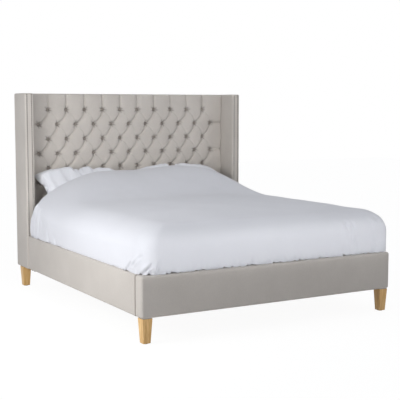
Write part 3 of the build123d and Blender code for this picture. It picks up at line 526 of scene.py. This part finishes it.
def wavy(points, out, crown, seed):
    """Gives taut cloth over wadding its slight unevenness."""
    low, high = points.min(axis=0), points.max(axis=0)
    share = np.abs((points - low) / (high - low) * 2 - 1)
    flat = np.abs(out) > 0.99
    inner = np.ones(len(points))
    for k in range(3):
        inner *= np.where(flat[:, k], 1, 1 - share[:, k] ** 6)
    wave = ripple(points[:, 0] * 1.3 + points[:, 2], (0.37, 0.61, 1.1), seed)
    wave += ripple(points[:, 1] * 1.2 - points[:, 2], (0.29, 0.53, 0.97), seed + 1)
    steady, waving = crown * 0.6, crown * 0.4
    return points + out * (inner * (steady + waving * wave))[:, None]


def cover(name, node, points, quads, room_low, room_high):
    """A linen cover in the place of its solid, with room for the timber inside it."""
    piece = make_piece(name, points, quads, "frame", "linen")
    hollow_out(piece, room_low, room_high)
    finish_piece(piece, "frame", "linen")
    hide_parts(node)


def wing_upholstery(name):
    """The cover of one wing: taut linen, dimpled round its nails, open at the back."""
    low, high = (np.array(corner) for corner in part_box(f"wing_cover_{name}"))
    wing_low, wing_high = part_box(f"wing_frame_{name}")
    nails_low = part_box(f"wing_nails_{name}")[0][2]
    points, out, quads = soft_box(low, high, cover_round, wing_grid)
    points = wavy(points, out, wing_crown, seed=5)
    middle = (low[0] + high[0]) / 2
    fronts = (out[:, 1] < -0.7) & (points[:, 2] > nails_low)
    rows = (high[2] - nail_top_margin - points[:, 2]) / nail_pitch
    near = (rows - np.round(rows)) * nail_pitch
    for column in (middle - nail_row_offset, middle + nail_row_offset):
        across = points[:, 0] - column
        dimples = nail_dimple * bell(np.hypot(across, near), nail_dimple_width)
        groove = nail_groove * bell(across, nail_groove_width)
        points[fronts, 1] += (dimples + groove)[fronts]
    points[:, 1] = np.clip(points[:, 1], low[1], high[1])
    cover(f"wing_upholstery_{name}", f"wing_cover_{name}", points, quads,
          (wing_low[0], wing_low[1], low[2] - room_overrun),
          (wing_high[0], high[1] + room_overrun, wing_high[2]))


def rail_upholstery(name):
    """The cover of one side rail, square at its ends, and open there and underneath."""
    low, high = (np.array(corner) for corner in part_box(f"rail_cover_{name}"))
    board_low, board_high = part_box(f"rail_board_{name}")
    points, out, quads = soft_box(low, high, cover_round, rail_grid)
    points = wavy(points, out, cover_crown, seed=8)
    for end, close in ((low[1], points[:, 1] < low[1] + rail_end_reach),
                       (high[1], points[:, 1] > high[1] - rail_end_reach)):
        points[close, 1] = end + (points[close, 1] - end) * rail_end_share
    cover(f"rail_upholstery_{name}", f"rail_cover_{name}", points, quads,
          (board_low[0], low[1] - room_overrun, low[2] - room_overrun),
          (board_high[0], high[1] + room_overrun, board_high[2]))


def footboard_upholstery():
    """The cover of the footboard, open underneath."""
    low, high = (np.array(corner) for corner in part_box("footboard_cover"))
    core_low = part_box("footboard_front_panel")[0]
    core_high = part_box("footboard_rear_panel")[1]
    points, out, quads = soft_box(low, high, footboard_round, footboard_grid)
    points = wavy(points, out, cover_crown, seed=12)
    cover("footboard_upholstery", "footboard_cover", points, quads,
          (core_low[0], core_low[1], low[2] - room_overrun), (core_high[0], core_high[1], core_high[2]))


# Mattress

mattress_grid = (16 * mm, 16 * mm, 12 * mm)
mattress_inset = 2 * mm
mattress_round = 26 * mm
mattress_corner = 55 * mm
mattress_cord = 5 * mm
mattress_side_height = 0.3
side_hollow = 6 * mm
stitch_row_shares = (0.34, 0.66)
stitch_depth, stitch_width = 3 * mm, 7 * mm
quilt_step = 0.22
quilt_groove, quilt_groove_width = 7 * mm, 16 * mm


def mattress_ticking():
    """The mattress: a quilted top and base, and sides with two rows of stitching."""
    low, high = (np.array(corner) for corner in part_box("mattress"))
    points, out, quads = soft_box(low + mattress_inset, high - mattress_inset, mattress_round, mattress_grid)
    along = (points[:, 0] + points[:, 1]) / quilt_step
    across = (points[:, 0] - points[:, 1]) / quilt_step
    near = np.minimum(np.abs(along - np.round(along)), np.abs(across - np.round(across))) * quilt_step
    flat = np.abs(out[:, 2]) > 0.95
    points -= out * np.where(flat, quilt_groove * bell(near, quilt_groove_width), 0)[:, None]
    height = (points[:, 2] - low[2]) / (high[2] - low[2])
    upright = np.abs(out[:, 2]) < 0.3
    stitched = sum(bell((height - row) * mattress_side_height, stitch_width) for row in stitch_row_shares)
    drawn = stitch_depth * stitched + side_hollow * (1 - (2 * height - 1) ** 2)
    points -= out * np.where(upright, drawn, 0)[:, None]
    piece = make_piece("mattress_ticking", points, quads, "mattress", "ticking")
    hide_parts("mattress")


def rounded_ring(low, high, radius, count=10):
    """Points of a rectangle with round corners, seen from above."""
    ring = []
    for x, y, start in ((high[0], high[1], 0), (low[0], high[1], 90),
                        (low[0], low[1], 180), (high[0], low[1], 270)):
        centre = (x - math.copysign(radius, x - (low[0] + high[0]) / 2),
                  y - math.copysign(radius, y - (low[1] + high[1]) / 2))
        for i in range(count + 1):
            angle = math.radians(start + 90 * i / count)
            ring.append((centre[0] + radius * math.cos(angle), centre[1] + radius * math.sin(angle)))
    return ring


def mattress_cords():
    """The two piped edges of the mattress."""
    low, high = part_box("mattress_piping")
    for name, level in (("lower", low[2] + mattress_cord), ("upper", high[2] - mattress_cord)):
        ring = rounded_ring((low[0] + mattress_cord, low[1] + mattress_cord),
                            (high[0] - mattress_cord, high[1] - mattress_cord), mattress_corner)
        line = bpy.data.curves.new(f"mattress_cord_{name}", "CURVE")
        line.dimensions, line.bevel_depth, line.bevel_resolution = "3D", mattress_cord, 3
        spline = line.splines.new("POLY")
        spline.points.add(len(ring) - 1)
        spline.points.foreach_set("co", [v for x, y in ring for v in (x, y, level, 1)])
        spline.use_cyclic_u = True
        shape = bpy.data.objects.new(f"mattress_cord_{name}", line)
        scene.collection.objects.link(shape)
        mesh = bpy.data.meshes.new_from_object(shape.evaluated_get(bpy.context.evaluated_depsgraph_get()))
        bpy.data.objects.remove(shape)
        piece = bpy.data.objects.new(f"mattress_cord_{name}", mesh)
        finish_piece(piece, "mattress", "ticking")
        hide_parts("mattress_piping")


# Duvet. A ramp says where a change begins, and over what length.

duvet_half = 0.950
duvet_foot = -1.101
duvet_hem = 0.4168
duvet_side_head = 0.75
duvet_plan_rounds = (0.105, 0.055)
duvet_top = 0.712
duvet_crown = 0.022
duvet_humps = (0.180, 0.164, 0.204)
hump_places = (-0.42, -0.02, 0.35)
hump_ramp = (0.25, 0.72)
hump_edge_share = 0.75
shoulder_height = 0.56
shoulder_rise = 0.05
shoulder_ramp = (0.3, 0.4)
side_rounds = (0.215, 0.13)
head_rounds = (0.77, 0.42)
head_round_ramp = (0.2, 0.65)
foot_round = 0.145
corner_bulge = 0.026
bulge_side_ramp, bulge_foot_ramp = (0.75, 0.2), (0.7, 0.35)
hem_tuck = 0.003
hem_band = 0.11
hem_notch = 0.014
hem_notch_lengths, hem_notch_floor = (0.029, 0.053, 0.19), 0.1
hem_gathers = (3.0 * mm, 7.5 * mm)
hem_gather_lengths = (0.034, 0.047, 0.071, 0.113)
foot_notches, foot_notch_ramp = 1.3, (0.55, 0.35)
wing_notches, wing_notch_ramp = 1.5, (0.1, 0.35)
most_notches = 1.4
duvet_swell = 2.2 * mm
fold_fade_shares = (0.18, 0.9)
fold_lip_shares = (0.45, 2.1, 1.3)
duvet_thickness, pillow_cover_thickness, head_edge_thickness = 0.105, 0.030, 0.013
pillow_cover_ramp = (0.42, 0.16)
head_edge_reach = 0.10
mattress_gap = 2.5 * mm
wing_side, wing_front_stop = 0.89, 0.861
wall_levels, turn_levels, flat_levels = 17, 25, 30
side_stations, corner_stations, foot_stations = 165, 26, 150
wall_head_heights = (0.4185, 0.47, 0.539, 0.607, 0.657, 0.69)
wall_head_places = (0.858, 0.856, 0.835, 0.795, 0.775, 0.765)
head_edge_insets = (0.0, 0.1, 0.2, 0.3, 0.41, 0.58, 0.95)
head_edge_places = (0.765, 0.790, 0.815, 0.850, 0.885, 0.935, 0.955)

# Folds of the duvet: start and end in space, width, depth
duvet_folds = [
    ((-0.949, -0.960, 0.460), (-0.932, -1.055, 0.532), 7 * mm, 17 * mm),
    ((-0.930, -1.050, 0.418), (-0.884, -1.093, 0.480), 7 * mm, 17 * mm),
    ((-0.948, -0.870, 0.425), (-0.949, -0.945, 0.484), 6 * mm, 12 * mm),
    ((-0.860, -1.100, 0.420), (-0.830, -1.100, 0.500), 8 * mm, 10 * mm),
    ((0.575, -1.08, 0.69), (0.69, -1.103, 0.45), 13 * mm, 9 * mm),
    ((0.615, -1.08, 0.68), (0.605, -1.103, 0.52), 11 * mm, 7 * mm),
    ((0.66, -1.08, 0.69), (0.665, -1.103, 0.50), 10 * mm, 6 * mm),
    ((0.80, -1.08, 0.68), (0.87, -1.10, 0.44), 12 * mm, 9 * mm),
    ((0.87, -1.07, 0.67), (0.93, -1.07, 0.45), 11 * mm, 10 * mm),
    ((0.93, -1.03, 0.63), (0.955, -1.0, 0.45), 11 * mm, 9 * mm),
    ((-0.955, 0.85, 0.41), (-0.95, 0.76, 0.66), 12 * mm, 19 * mm),
    ((-0.955, 0.77, 0.41), (-0.94, 0.70, 0.69), 12 * mm, 17 * mm),
    ((-0.955, 0.69, 0.41), (-0.95, 0.64, 0.66), 13 * mm, 16 * mm),
    ((-0.955, 0.58, 0.42), (-0.95, 0.60, 0.56), 12 * mm, 8 * mm),
    ((-0.955, 0.46, 0.42), (-0.95, 0.50, 0.54), 12 * mm, 8 * mm),
    ((-0.955, 0.33, 0.42), (-0.95, 0.36, 0.49), 11 * mm, 7 * mm),
    ((0.955, 0.82, 0.43), (0.95, 0.75, 0.62), 12 * mm, 11 * mm),
    ((0.955, 0.70, 0.43), (0.95, 0.68, 0.60), 12 * mm, 10 * mm),
    ((0.955, 0.55, 0.42), (0.95, 0.57, 0.56), 12 * mm, 8 * mm),
    ((0.955, -0.80, 0.42), (0.95, -0.76, 0.56), 12 * mm, 8 * mm),
]


def duvet_rise(x, y):
    """How far the duvet has risen over the pillows, less between the pairs."""
    return np.interp(x, hump_places, duvet_humps) * ramp(y, *hump_ramp)


def duvet_surface():
    """The duvet's outer face as stations round its outline by levels, and how far its head edge is."""
    wall = np.linspace(0, 1, wall_levels)[:-1]
    turn = np.linspace(0, math.pi / 2, turn_levels)
    flat = np.linspace(0, 1, flat_levels)[1:]
    levels = len(wall) + len(turn) + len(flat)
    sides = np.linspace(0, 1, side_stations)
    corner = np.linspace(0, 1, corner_stations + 2)[1:-1]
    foot = np.linspace(0, 1, foot_stations)
    # Stations run down the left side, round its corner, along the foot, and round and up the right side
    runs = (sides, corner, foot, 1 - corner, sides[::-1])
    share = np.concatenate(runs)[:, None]
    kinds = np.concatenate([np.full(len(run), k) for k, run in enumerate(runs)])[:, None]
    on_side, on_corner, on_foot = (kinds == 0) | (kinds == 4), (kinds == 1) | (kinds == 3), kinds == 2
    left = np.where(kinds <= 1, -1, 1)
    side_round, head_round, plan_round = (
        np.where(left < 0, *pair) for pair in (side_rounds, head_rounds, duvet_plan_rounds))
    nominal = between(duvet_side_head, duvet_foot + plan_round, share)
    round_side = between(side_round, head_round, ramp(nominal, *head_round_ramp))
    round_corner = between(side_round, foot_round, share)
    round_here = np.where(on_foot, foot_round, np.where(on_corner, round_corner, round_side))
    shoulder = shoulder_height + np.where(on_side, shoulder_rise * ramp(nominal, *shoulder_ramp), 0)

    inset = np.zeros((len(kinds), levels))
    lift = np.zeros_like(inset)
    inset[:, :len(wall)] = hem_tuck * (1 - wall) ** 2
    turning = slice(len(wall), len(wall) + len(turn))
    inset[:, turning] = round_here * (1 - np.cos(turn))
    inset[:, turning.stop:] = between(round_here, duvet_half, flat)
    lift[:, turning] = np.sin(turn)
    lift[:, turning.stop:] = 1

    narrow = 1 - inset / duvet_half
    round_plan = plan_round * narrow
    start_y = duvet_foot + inset + round_plan
    wall_share = np.concatenate([wall, np.ones(levels - len(wall))])
    wall_height = between(duvet_hem, shoulder, wall_share)
    top_guess = between(shoulder, duvet_top + duvet_humps[0] * hump_edge_share, lift)
    high_guess = np.where(wall_share < 1, wall_height, top_guess)
    end_y = np.where(high_guess < wall_head_heights[-1],
                     np.interp(high_guess, wall_head_heights, wall_head_places),
                     np.interp(inset, head_edge_insets, head_edge_places))
    half = duvet_half - inset
    side_y = between(end_y, start_y, share)
    turn_angle = share * math.pi / 2
    corner_x = left * (half - round_plan * (1 - np.cos(turn_angle)))
    corner_y = start_y - round_plan * np.sin(turn_angle)
    foot_ends = (side * (half - narrow * size) for side, size in zip((-1, 1), duvet_plan_rounds))
    foot_x = between(*foot_ends, share)
    x = np.where(on_foot, foot_x, np.where(on_corner, corner_x, left * half))
    y = np.where(on_foot, duvet_foot + inset, np.where(on_corner, corner_y, side_y))
    x = x + corner_bulge * ramp(x, *bulge_side_ramp) * ramp(-y, *bulge_foot_ramp)
    crown = duvet_top + duvet_rise(x, y) + duvet_crown * eased(inset / duvet_half)
    z = np.where(wall_share < 1, wall_height, between(shoulder, crown, lift))
    return np.stack([x, y, z], axis=-1), np.where(on_side, end_y - side_y, np.inf)


def grid_normals(grid):
    """Outward directions of a grid of points, upwards where the grid closes to a line."""
    out = np.cross(np.gradient(grid, axis=0), np.gradient(grid, axis=1))
    size = np.linalg.norm(out, axis=-1, keepdims=True)
    return np.where(size > tiny, out / np.maximum(size, tiny), (0, 0, 1))


def duvet_creases(grid, out):
    """Moves the duvet's face in and out: slow swells, hem gathers and notches, and single folds."""
    x, y, z = grid[..., 0], grid[..., 1], grid[..., 2]
    swell = ripple(x * 1.1 + y * 0.7, (0.43, 0.71, 1.3), seed=21)
    swell += ripple(y * 1.2 - x * 0.6, (0.39, 0.63, 1.1), seed=22)
    move = duvet_swell * swell
    outline = np.cumsum(np.linalg.norm(np.diff(grid[:, 0], axis=0, prepend=grid[:1, 0]), axis=-1))[:, None]
    low = np.clip(1 - (z - duvet_hem) / hem_band, 0, 1) ** 2
    notched = foot_notches * ramp(-y, *foot_notch_ramp) + wing_notches * ramp(y, *wing_notch_ramp)
    notched = np.clip(notched, 0, most_notches)
    move += between(*hem_gathers, notched) * low * ripple(outline, hem_gather_lengths, seed=23)
    notches = np.clip(ripple(outline, hem_notch_lengths, seed=27) - hem_notch_floor, 0, 1)
    grid[..., 2] += hem_notch * notched * low ** 2 * notches
    lip_share, lip_place, lip_width = fold_lip_shares
    for start, end, width, depth in duvet_folds:
        far, share = fold_distance(grid, start, end)
        fade = np.sin(math.pi * between(*fold_fade_shares, share))
        lip = lip_share * bell(far - lip_place * width, lip_width * width)
        move += fade * depth * (lip - bell(far, width))
    return grid + out * move[..., None]


def duvet_lining(grid, out, to_head):
    """The inner face: clear of the mattress, thin over the pillows and at the head edge."""
    low, high = (np.array(corner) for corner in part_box("mattress"))
    thick = between(duvet_thickness, pillow_cover_thickness, ramp(grid[..., 1], *pillow_cover_ramp))
    thick = between(thick, head_edge_thickness, eased(1 - to_head / head_edge_reach))
    inner = grid - out * thick[..., None]
    inner[..., 2] = np.maximum(inner[..., 2], duvet_hem)
    in_x = high[0] + mattress_gap - np.abs(inner[..., 0])
    in_y = inner[..., 1] - (low[1] - mattress_gap)
    in_z = high[2] + mattress_gap - inner[..., 2]
    inside = (in_x > 0) & (in_y > 0) & (in_z > 0)
    least = np.minimum(np.minimum(in_x, in_y), in_z)
    up = inside & (in_z == least)
    sideways = inside & ~up & (in_x == least)
    back = inside & ~up & ~sideways
    inner[up, 2] = high[2] + mattress_gap
    inner[sideways, 0] = np.sign(inner[sideways, 0]) * (high[0] + mattress_gap)
    inner[back, 1] = low[1] - mattress_gap
    return inner


def duvet_cover():
    """The duvet: outer and inner face joined round hem and head edge. Gives its inner face."""
    grid, to_head = duvet_surface()
    out = grid_normals(grid)
    if out[len(out) // 2, 3, 1] > 0:
        out = -out
    grid = duvet_creases(grid, out)
    grid[..., 2] = np.maximum(grid[..., 2], duvet_hem)
    beside_wing = np.abs(grid[..., 0]) > wing_side
    grid[beside_wing, 1] = np.minimum(grid[beside_wing, 1], wing_front_stop)
    inner = duvet_lining(grid, out, to_head)
    stations, levels = grid.shape[:2]
    shift = stations * levels
    faces = grid_faces(stations, levels) + grid_faces(stations, levels, first=shift, flip=True)
    numbers = np.arange(shift).reshape(stations, levels)
    for a, b in zip(numbers[:-1, 0].tolist(), numbers[1:, 0].tolist()):
        faces.append([a + shift, b + shift, b, a])
    for j in range(levels - 1):
        for line, turn in ((numbers[0], 1), (numbers[-1], -1)):
            a, b = line[j:j + 2].tolist()
            faces.append([a, b, b + shift, a + shift][::turn])
    points = np.vstack([grid.reshape(-1, 3), inner.reshape(-1, 3)])
    piece = make_piece("duvet_cover", points, faces, "duvet", "duvet_cotton")
    weld(piece)
    finish_piece(piece, "duvet", "duvet_cotton", sharp=75)
    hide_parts("duvet")
    return inner


def weld(piece):
    """Joins points that lie on each other and makes all faces look outwards."""
    mesh = bmesh.new()
    mesh.from_mesh(piece.data)
    bmesh.ops.remove_doubles(mesh, verts=mesh.verts, dist=0.3 * mm)
    bmesh.ops.dissolve_degenerate(mesh, edges=mesh.edges, dist=0.05 * mm)
    bmesh.ops.recalc_face_normals(mesh, faces=mesh.faces)
    mesh.to_mesh(piece.data)
    mesh.free()


# Pillows

pillow_long, pillow_wide = 0.690, 0.470
pillow_tilt = math.radians(19)
pillow_steps = (66, 46)
pillow_cut = (0.76, 0.52)
pillow_frames = 24
pillow_fullness = 0.55
pillow_squareness = 0.9
bag_gap, bag_unevenness = 6 * mm, 2 * mm
bag_cloth = {
    "quality": 7, "mass": 0.25, "tension_stiffness": 25, "compression_stiffness": 25, "shear_stiffness": 6,
    "bending_stiffness": 0.1, "use_pressure": True, "uniform_pressure_force": 5}
smoothings, smoothing_share = 4, 0.5
crumple_depth = 4.5 * mm
crumple_ramp, crumple_end = (0.45, 0.35), 0.08
upper_seam, upper_fill = (0.808, 0.806), (0.100, 0.066)
lower_seam, lower_fill = (0.770, 0.685), (0.072, 0.052)
roof_drop, roof_shift = 0.0635, 0.013
least_pillow_height = 12 * mm
duvet_gap = 2 * mm
ray_start = 0.60
press_slope = 1.15


def swell_pillow():
    """Blows up a flat bag of cloth; gives its upper and its lower sheet, each 1 m long, wide and high."""
    count_u, count_v = pillow_steps
    u, v = np.meshgrid(np.linspace(-0.5, 0.5, count_u), np.linspace(-0.5, 0.5, count_v), indexing="ij")
    inside = (np.abs(u) < 0.5) & (np.abs(v) < 0.5)
    start = np.random.default_rng(5)
    sheets = []
    for side in (1, -1):
        height = side * np.where(inside, bag_gap + bag_unevenness * start.random(u.shape), 0)
        sheets.append(np.stack([u * pillow_cut[0], v * pillow_cut[1], height], -1).reshape(-1, 3))
    numbers = np.arange(u.size).reshape(u.shape)
    lower = np.where(inside, numbers + u.size, numbers).ravel()
    faces = grid_faces(count_u, count_v)
    faces += [tuple(int(lower[i]) for i in face[::-1]) for face in faces]
    bag = bpy.data.meshes.new("pillow_bag")
    bag.from_pydata(np.vstack(sheets).tolist(), [], faces)
    loose = bpy.data.objects.new("pillow_bag", bag)
    scene.collection.objects.link(loose)
    swell = loose.modifiers.new("swell", "CLOTH")
    for rule, value in bag_cloth.items():
        setattr(swell.settings, rule, value)
    swell.settings.effector_weights.gravity = 0
    swell.collision_settings.use_collision = False
    for moment in range(1, pillow_frames + 1):
        scene.frame_set(moment)
    settled = loose.evaluated_get(bpy.context.evaluated_depsgraph_get()).to_mesh()
    flat = np.zeros(len(settled.vertices) * 3)
    settled.vertices.foreach_get("co", flat)
    flat = flat.reshape(-1, 3)
    bpy.data.objects.remove(loose)
    scene.frame_set(1)
    return evened(flat[:u.size].reshape(*u.shape, 3), flat[lower].reshape(*u.shape, 3))


def evened(upper, under):
    """Scales a pillow's sheets to 1 m, straightens its pulled-in edges, and smooths and fills its faces."""
    spread = upper[..., :2].max(axis=(0, 1)) - upper[..., :2].min(axis=(0, 1))
    wide = (upper[:, -1, 1] - upper[:, 0, 1])[:, None] / spread[1]
    long = (upper[-1, :, 0] - upper[0, :, 0])[None, :] / spread[0]
    for sheet in (upper, under):
        sheet[..., :2] /= spread
        sheet[..., 1] *= between(1, 1 / wide, pillow_squareness)
        sheet[..., 0] *= between(1, 1 / long, pillow_squareness)
        for _ in range(smoothings):
            beside = sheet[2:, 1:-1, 2] + sheet[:-2, 1:-1, 2] + sheet[1:-1, 2:, 2] + sheet[1:-1, :-2, 2]
            sheet[1:-1, 1:-1, 2] = between(sheet[1:-1, 1:-1, 2], beside / 4, smoothing_share)
        sheet[..., 2] /= np.abs(sheet[..., 2]).max()
        sheet[..., 2] = np.sign(sheet[..., 2]) * np.abs(sheet[..., 2]) ** pillow_fullness
    return upper, under


def pressed(grid, ceiling):
    """Presses a pillow's upper sheet down under the duvet, easing off where the duvet ends."""
    flat = grid.reshape(-1, 3)
    need = np.zeros(len(flat))
    for i, point in enumerate(flat):
        found = ceiling.ray_cast(Vector((point[0], point[1], ray_start)), Vector((0, 0, 1)))[0]
        if found is not None:
            need[i] = max(point[2] - found[2] + duvet_gap, 0)
    far = np.hypot(flat[:, None, 0] - flat[None, :, 0], flat[:, None, 1] - flat[None, :, 1])
    lower = (need[None, :] - press_slope * far).max(axis=1)
    flat[:, 2] -= np.maximum(lower, 0)
    return flat.reshape(grid.shape)


def crumpled(sheet, seed):
    """Soft crumples near a pillow's ends, as cloth has that is pushed together."""
    x, y = sheet[..., 0], sheet[..., 1]
    end = np.abs(x) / (pillow_long / 2)
    crumple = ripple(y + 0.45 * x, (0.061, 0.089, 0.13), seed)
    crumple += 0.7 * ripple(y * 0.5 - x, (0.047, 0.073), seed + 1)
    sheet[..., 2] += crumple_depth * crumple * ramp(end, *crumple_ramp) * eased((1 - end) / crumple_end)
    return sheet


def lay_pillow(shape, node, seam, fill, tilt, seed):
    """A pillow in the place of its solid: both sheets, filled up and down, and tilted about its seam."""
    low, high = (np.array(corner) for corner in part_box(node))
    sine, cosine = math.sin(tilt), math.cos(tilt)
    laid = []
    for sheet, thick in zip(shape, fill):
        full = crumpled(sheet * (pillow_long, pillow_wide, thick), seed)
        x, y, z = full[..., 0], full[..., 1], full[..., 2]
        laid.append(np.stack([x + (low[0] + high[0]) / 2, seam[0] + y * cosine - z * sine,
                              seam[1] + y * sine + z * cosine], -1))
    return laid


def pillow_piece(name, node, upper, under):
    """Joins the two sheets of a pillow along its seam."""
    count_u, count_v = pillow_steps
    points = np.vstack([upper.reshape(-1, 3), under.reshape(-1, 3)])
    faces = grid_faces(count_u, count_v) + grid_faces(count_u, count_v, first=count_u * count_v, flip=True)
    piece = make_piece(name, points, faces, "pillows", "pillow_cotton")
    weld(piece)
    smooth = piece.modifiers.new("smooth", "SUBSURF")
    smooth.levels = smooth.render_levels = 1
    finish_piece(piece, "pillows", "pillow_cotton", sharp=80)
    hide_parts(node)


def make_pillows(inner):
    """Lower pillows flat on the mattress, and upper ones leaned on them, under the duvet's inner face."""
    ceiling = BVHTree.FromPolygons(inner.reshape(-1, 3).tolist(), grid_faces(*inner.shape[:2]))
    mattress_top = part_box("mattress")[1][2]
    shape = swell_pillow()
    for side, seed in (("left", 31), ("right", 41)):
        node = f"pillow_upper_{side}"
        upper, under = lay_pillow(shape, node, upper_seam, upper_fill, pillow_tilt, seed)
        upper = pressed(upper, ceiling)
        under[..., 2] = np.minimum(under[..., 2], upper[..., 2])
        pillow_piece(f"leaning_pillow_{side}", node, upper, under)
        node = f"pillow_lower_{side}"
        upper, under = lay_pillow(shape, node, lower_seam, lower_fill, 0.0, seed + 5)
        under[..., 2] = np.maximum(under[..., 2], mattress_top + mm)
        behind = upper[..., 1] - upper_seam[0] - roof_shift
        roof = upper_seam[1] - roof_drop + behind * math.tan(pillow_tilt)
        upper[..., 2] = np.minimum(upper[..., 2], np.maximum(roof, mattress_top + least_pillow_height))
        under[..., 2] = np.minimum(under[..., 2], upper[..., 2])
        pillow_piece(f"flat_pillow_{side}", node, upper, under)


# Camera, lamps and floor

view_place, view_tilt, view_turn = (-3.3686, -5.9902, 1.4317), 0.1015, 0.5224
white = (1, 1, 1, 1)
spot_height = 3.2
floor_reach = 14
floor_glow, floor_glow_share = 1.05, 0.9
# Level strips of light: name, power, size, place and aim in plan, and 1 above or -1 below the footboard's top
light_strips = [
    ("front", 1.9, (3.2, 2.2), (-1.9, -4.2), (0, -0.13), 1),
    ("foot_face", 0.44, (1.9, 0.24), (0, -2.4), (0, 0), 1),
    ("foot_board", 0.13, (1.9, 0.34), (0, -2.4), (0, 0), -1),
]


def place_lamp(name, light, place, aim):
    """Stands a lamp at a place, turned towards its aim."""
    lamp = bpy.data.objects.new(name, light)
    lamp.location = place
    lamp.rotation_euler = (Vector(aim) - Vector(place)).to_track_quat("-Z", "Y").to_euler()
    scene.collection.objects.link(lamp)
    return lamp


def look():
    """The photograph's view, lit by a large lamp on the left, and by two spots and level strips in front."""
    data = bpy.data.cameras.new("view")
    data.lens, data.sensor_width = 83.09, 36
    camera = bpy.data.objects.new("view", data)
    camera.location = view_place
    camera.rotation_euler = (math.pi / 2 - view_tilt, 0, -view_turn)
    scene.collection.objects.link(camera)
    scene.camera = camera
    scene.view_settings.view_transform = "Standard"
    side = bpy.data.lights.new("side", "AREA")
    side.size, side.energy = 0.9, 30
    place_lamp("side", side, (-2.6, -0.85, 1.25), (-0.3, 0.3, 0.75))
    for name, x in (("front_left", -0.65), ("front_right", 0.6)):
        front = bpy.data.lights.new(name, "SPOT")
        front.energy, front.shadow_soft_size = 135, 0.25
        front.spot_size, front.spot_blend = math.radians(64.6), 0.05
        place_lamp(name, front, (x, -5.5, spot_height), (x, 0, spot_height))
    footboard_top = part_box("footboard_cover")[1][2]
    for name, energy, size, place, aim, above in light_strips:
        strip = bpy.data.lights.new(name, "AREA")
        strip.shape, strip.size, strip.size_y = "RECTANGLE", *size
        strip.energy, strip.spread = energy, math.radians(6)
        level = footboard_top + size[1] / 2 * above
        place_lamp(name, strip, (*place, level), (*aim, level)).visible_camera = False
    world = bpy.data.worlds.new("studio")
    scene.world = world
    world.use_nodes = True
    tree = world.node_tree
    tree.nodes.clear()
    plain = add_node(tree, "ShaderNodeBackground", {"Color": white, "Strength": 1.0}).outputs[0]
    sky = add_node(tree, "ShaderNodeBackground", {"Color": srgb(246, 248, 253), "Strength": 0.575}).outputs[0]
    mix = add_node(tree, "ShaderNodeMixShader", {0: seen_directly(tree), 1: sky, 2: plain}).outputs[0]
    add_node(tree, "ShaderNodeOutputWorld", {"Surface": mix})


def seen_directly(tree):
    """1 for what the camera sees itself or in a gloss, else 0."""
    path = add_node(tree, "ShaderNodeLightPath").outputs
    return maths(tree, "MAXIMUM", path["Is Camera Ray"], path["Is Glossy Ray"])


def studio_floor():
    """A pale floor that stays white to the camera but for a faint shadow."""
    corners = [(x * floor_reach, y * floor_reach, 0) for x, y in ((-1, -1), (1, -1), (1, 1), (-1, 1))]
    mesh = bpy.data.meshes.new("studio_floor")
    mesh.from_pydata(corners, [], [(0, 1, 2, 3)])
    floor = bpy.data.objects.new("studio_floor", mesh)
    scene.collection.objects.link(floor)
    material = bpy.data.materials.new("studio floor")
    material.use_nodes = True
    tree = material.node_tree
    tree.nodes.clear()
    plain = add_node(tree, "ShaderNodeBsdfDiffuse", {"Color": srgb(236, 236, 236)}).outputs[0]
    glow = add_node(tree, "ShaderNodeEmission", {"Color": white, "Strength": floor_glow}).outputs[0]
    share = maths(tree, "MULTIPLY", seen_directly(tree), floor_glow_share)
    mix = add_node(tree, "ShaderNodeMixShader", {0: share, 1: plain, 2: glow}).outputs[0]
    add_node(tree, "ShaderNodeOutputMaterial", {"Surface": mix})
    mesh.materials.append(material)


headboard_upholstery()
for side_name in ("left", "right"):
    wing_upholstery(side_name)
    rail_upholstery(side_name)
footboard_upholstery()
mattress_ticking()
mattress_cords()
make_pillows(duvet_cover())
look()
studio_floor()
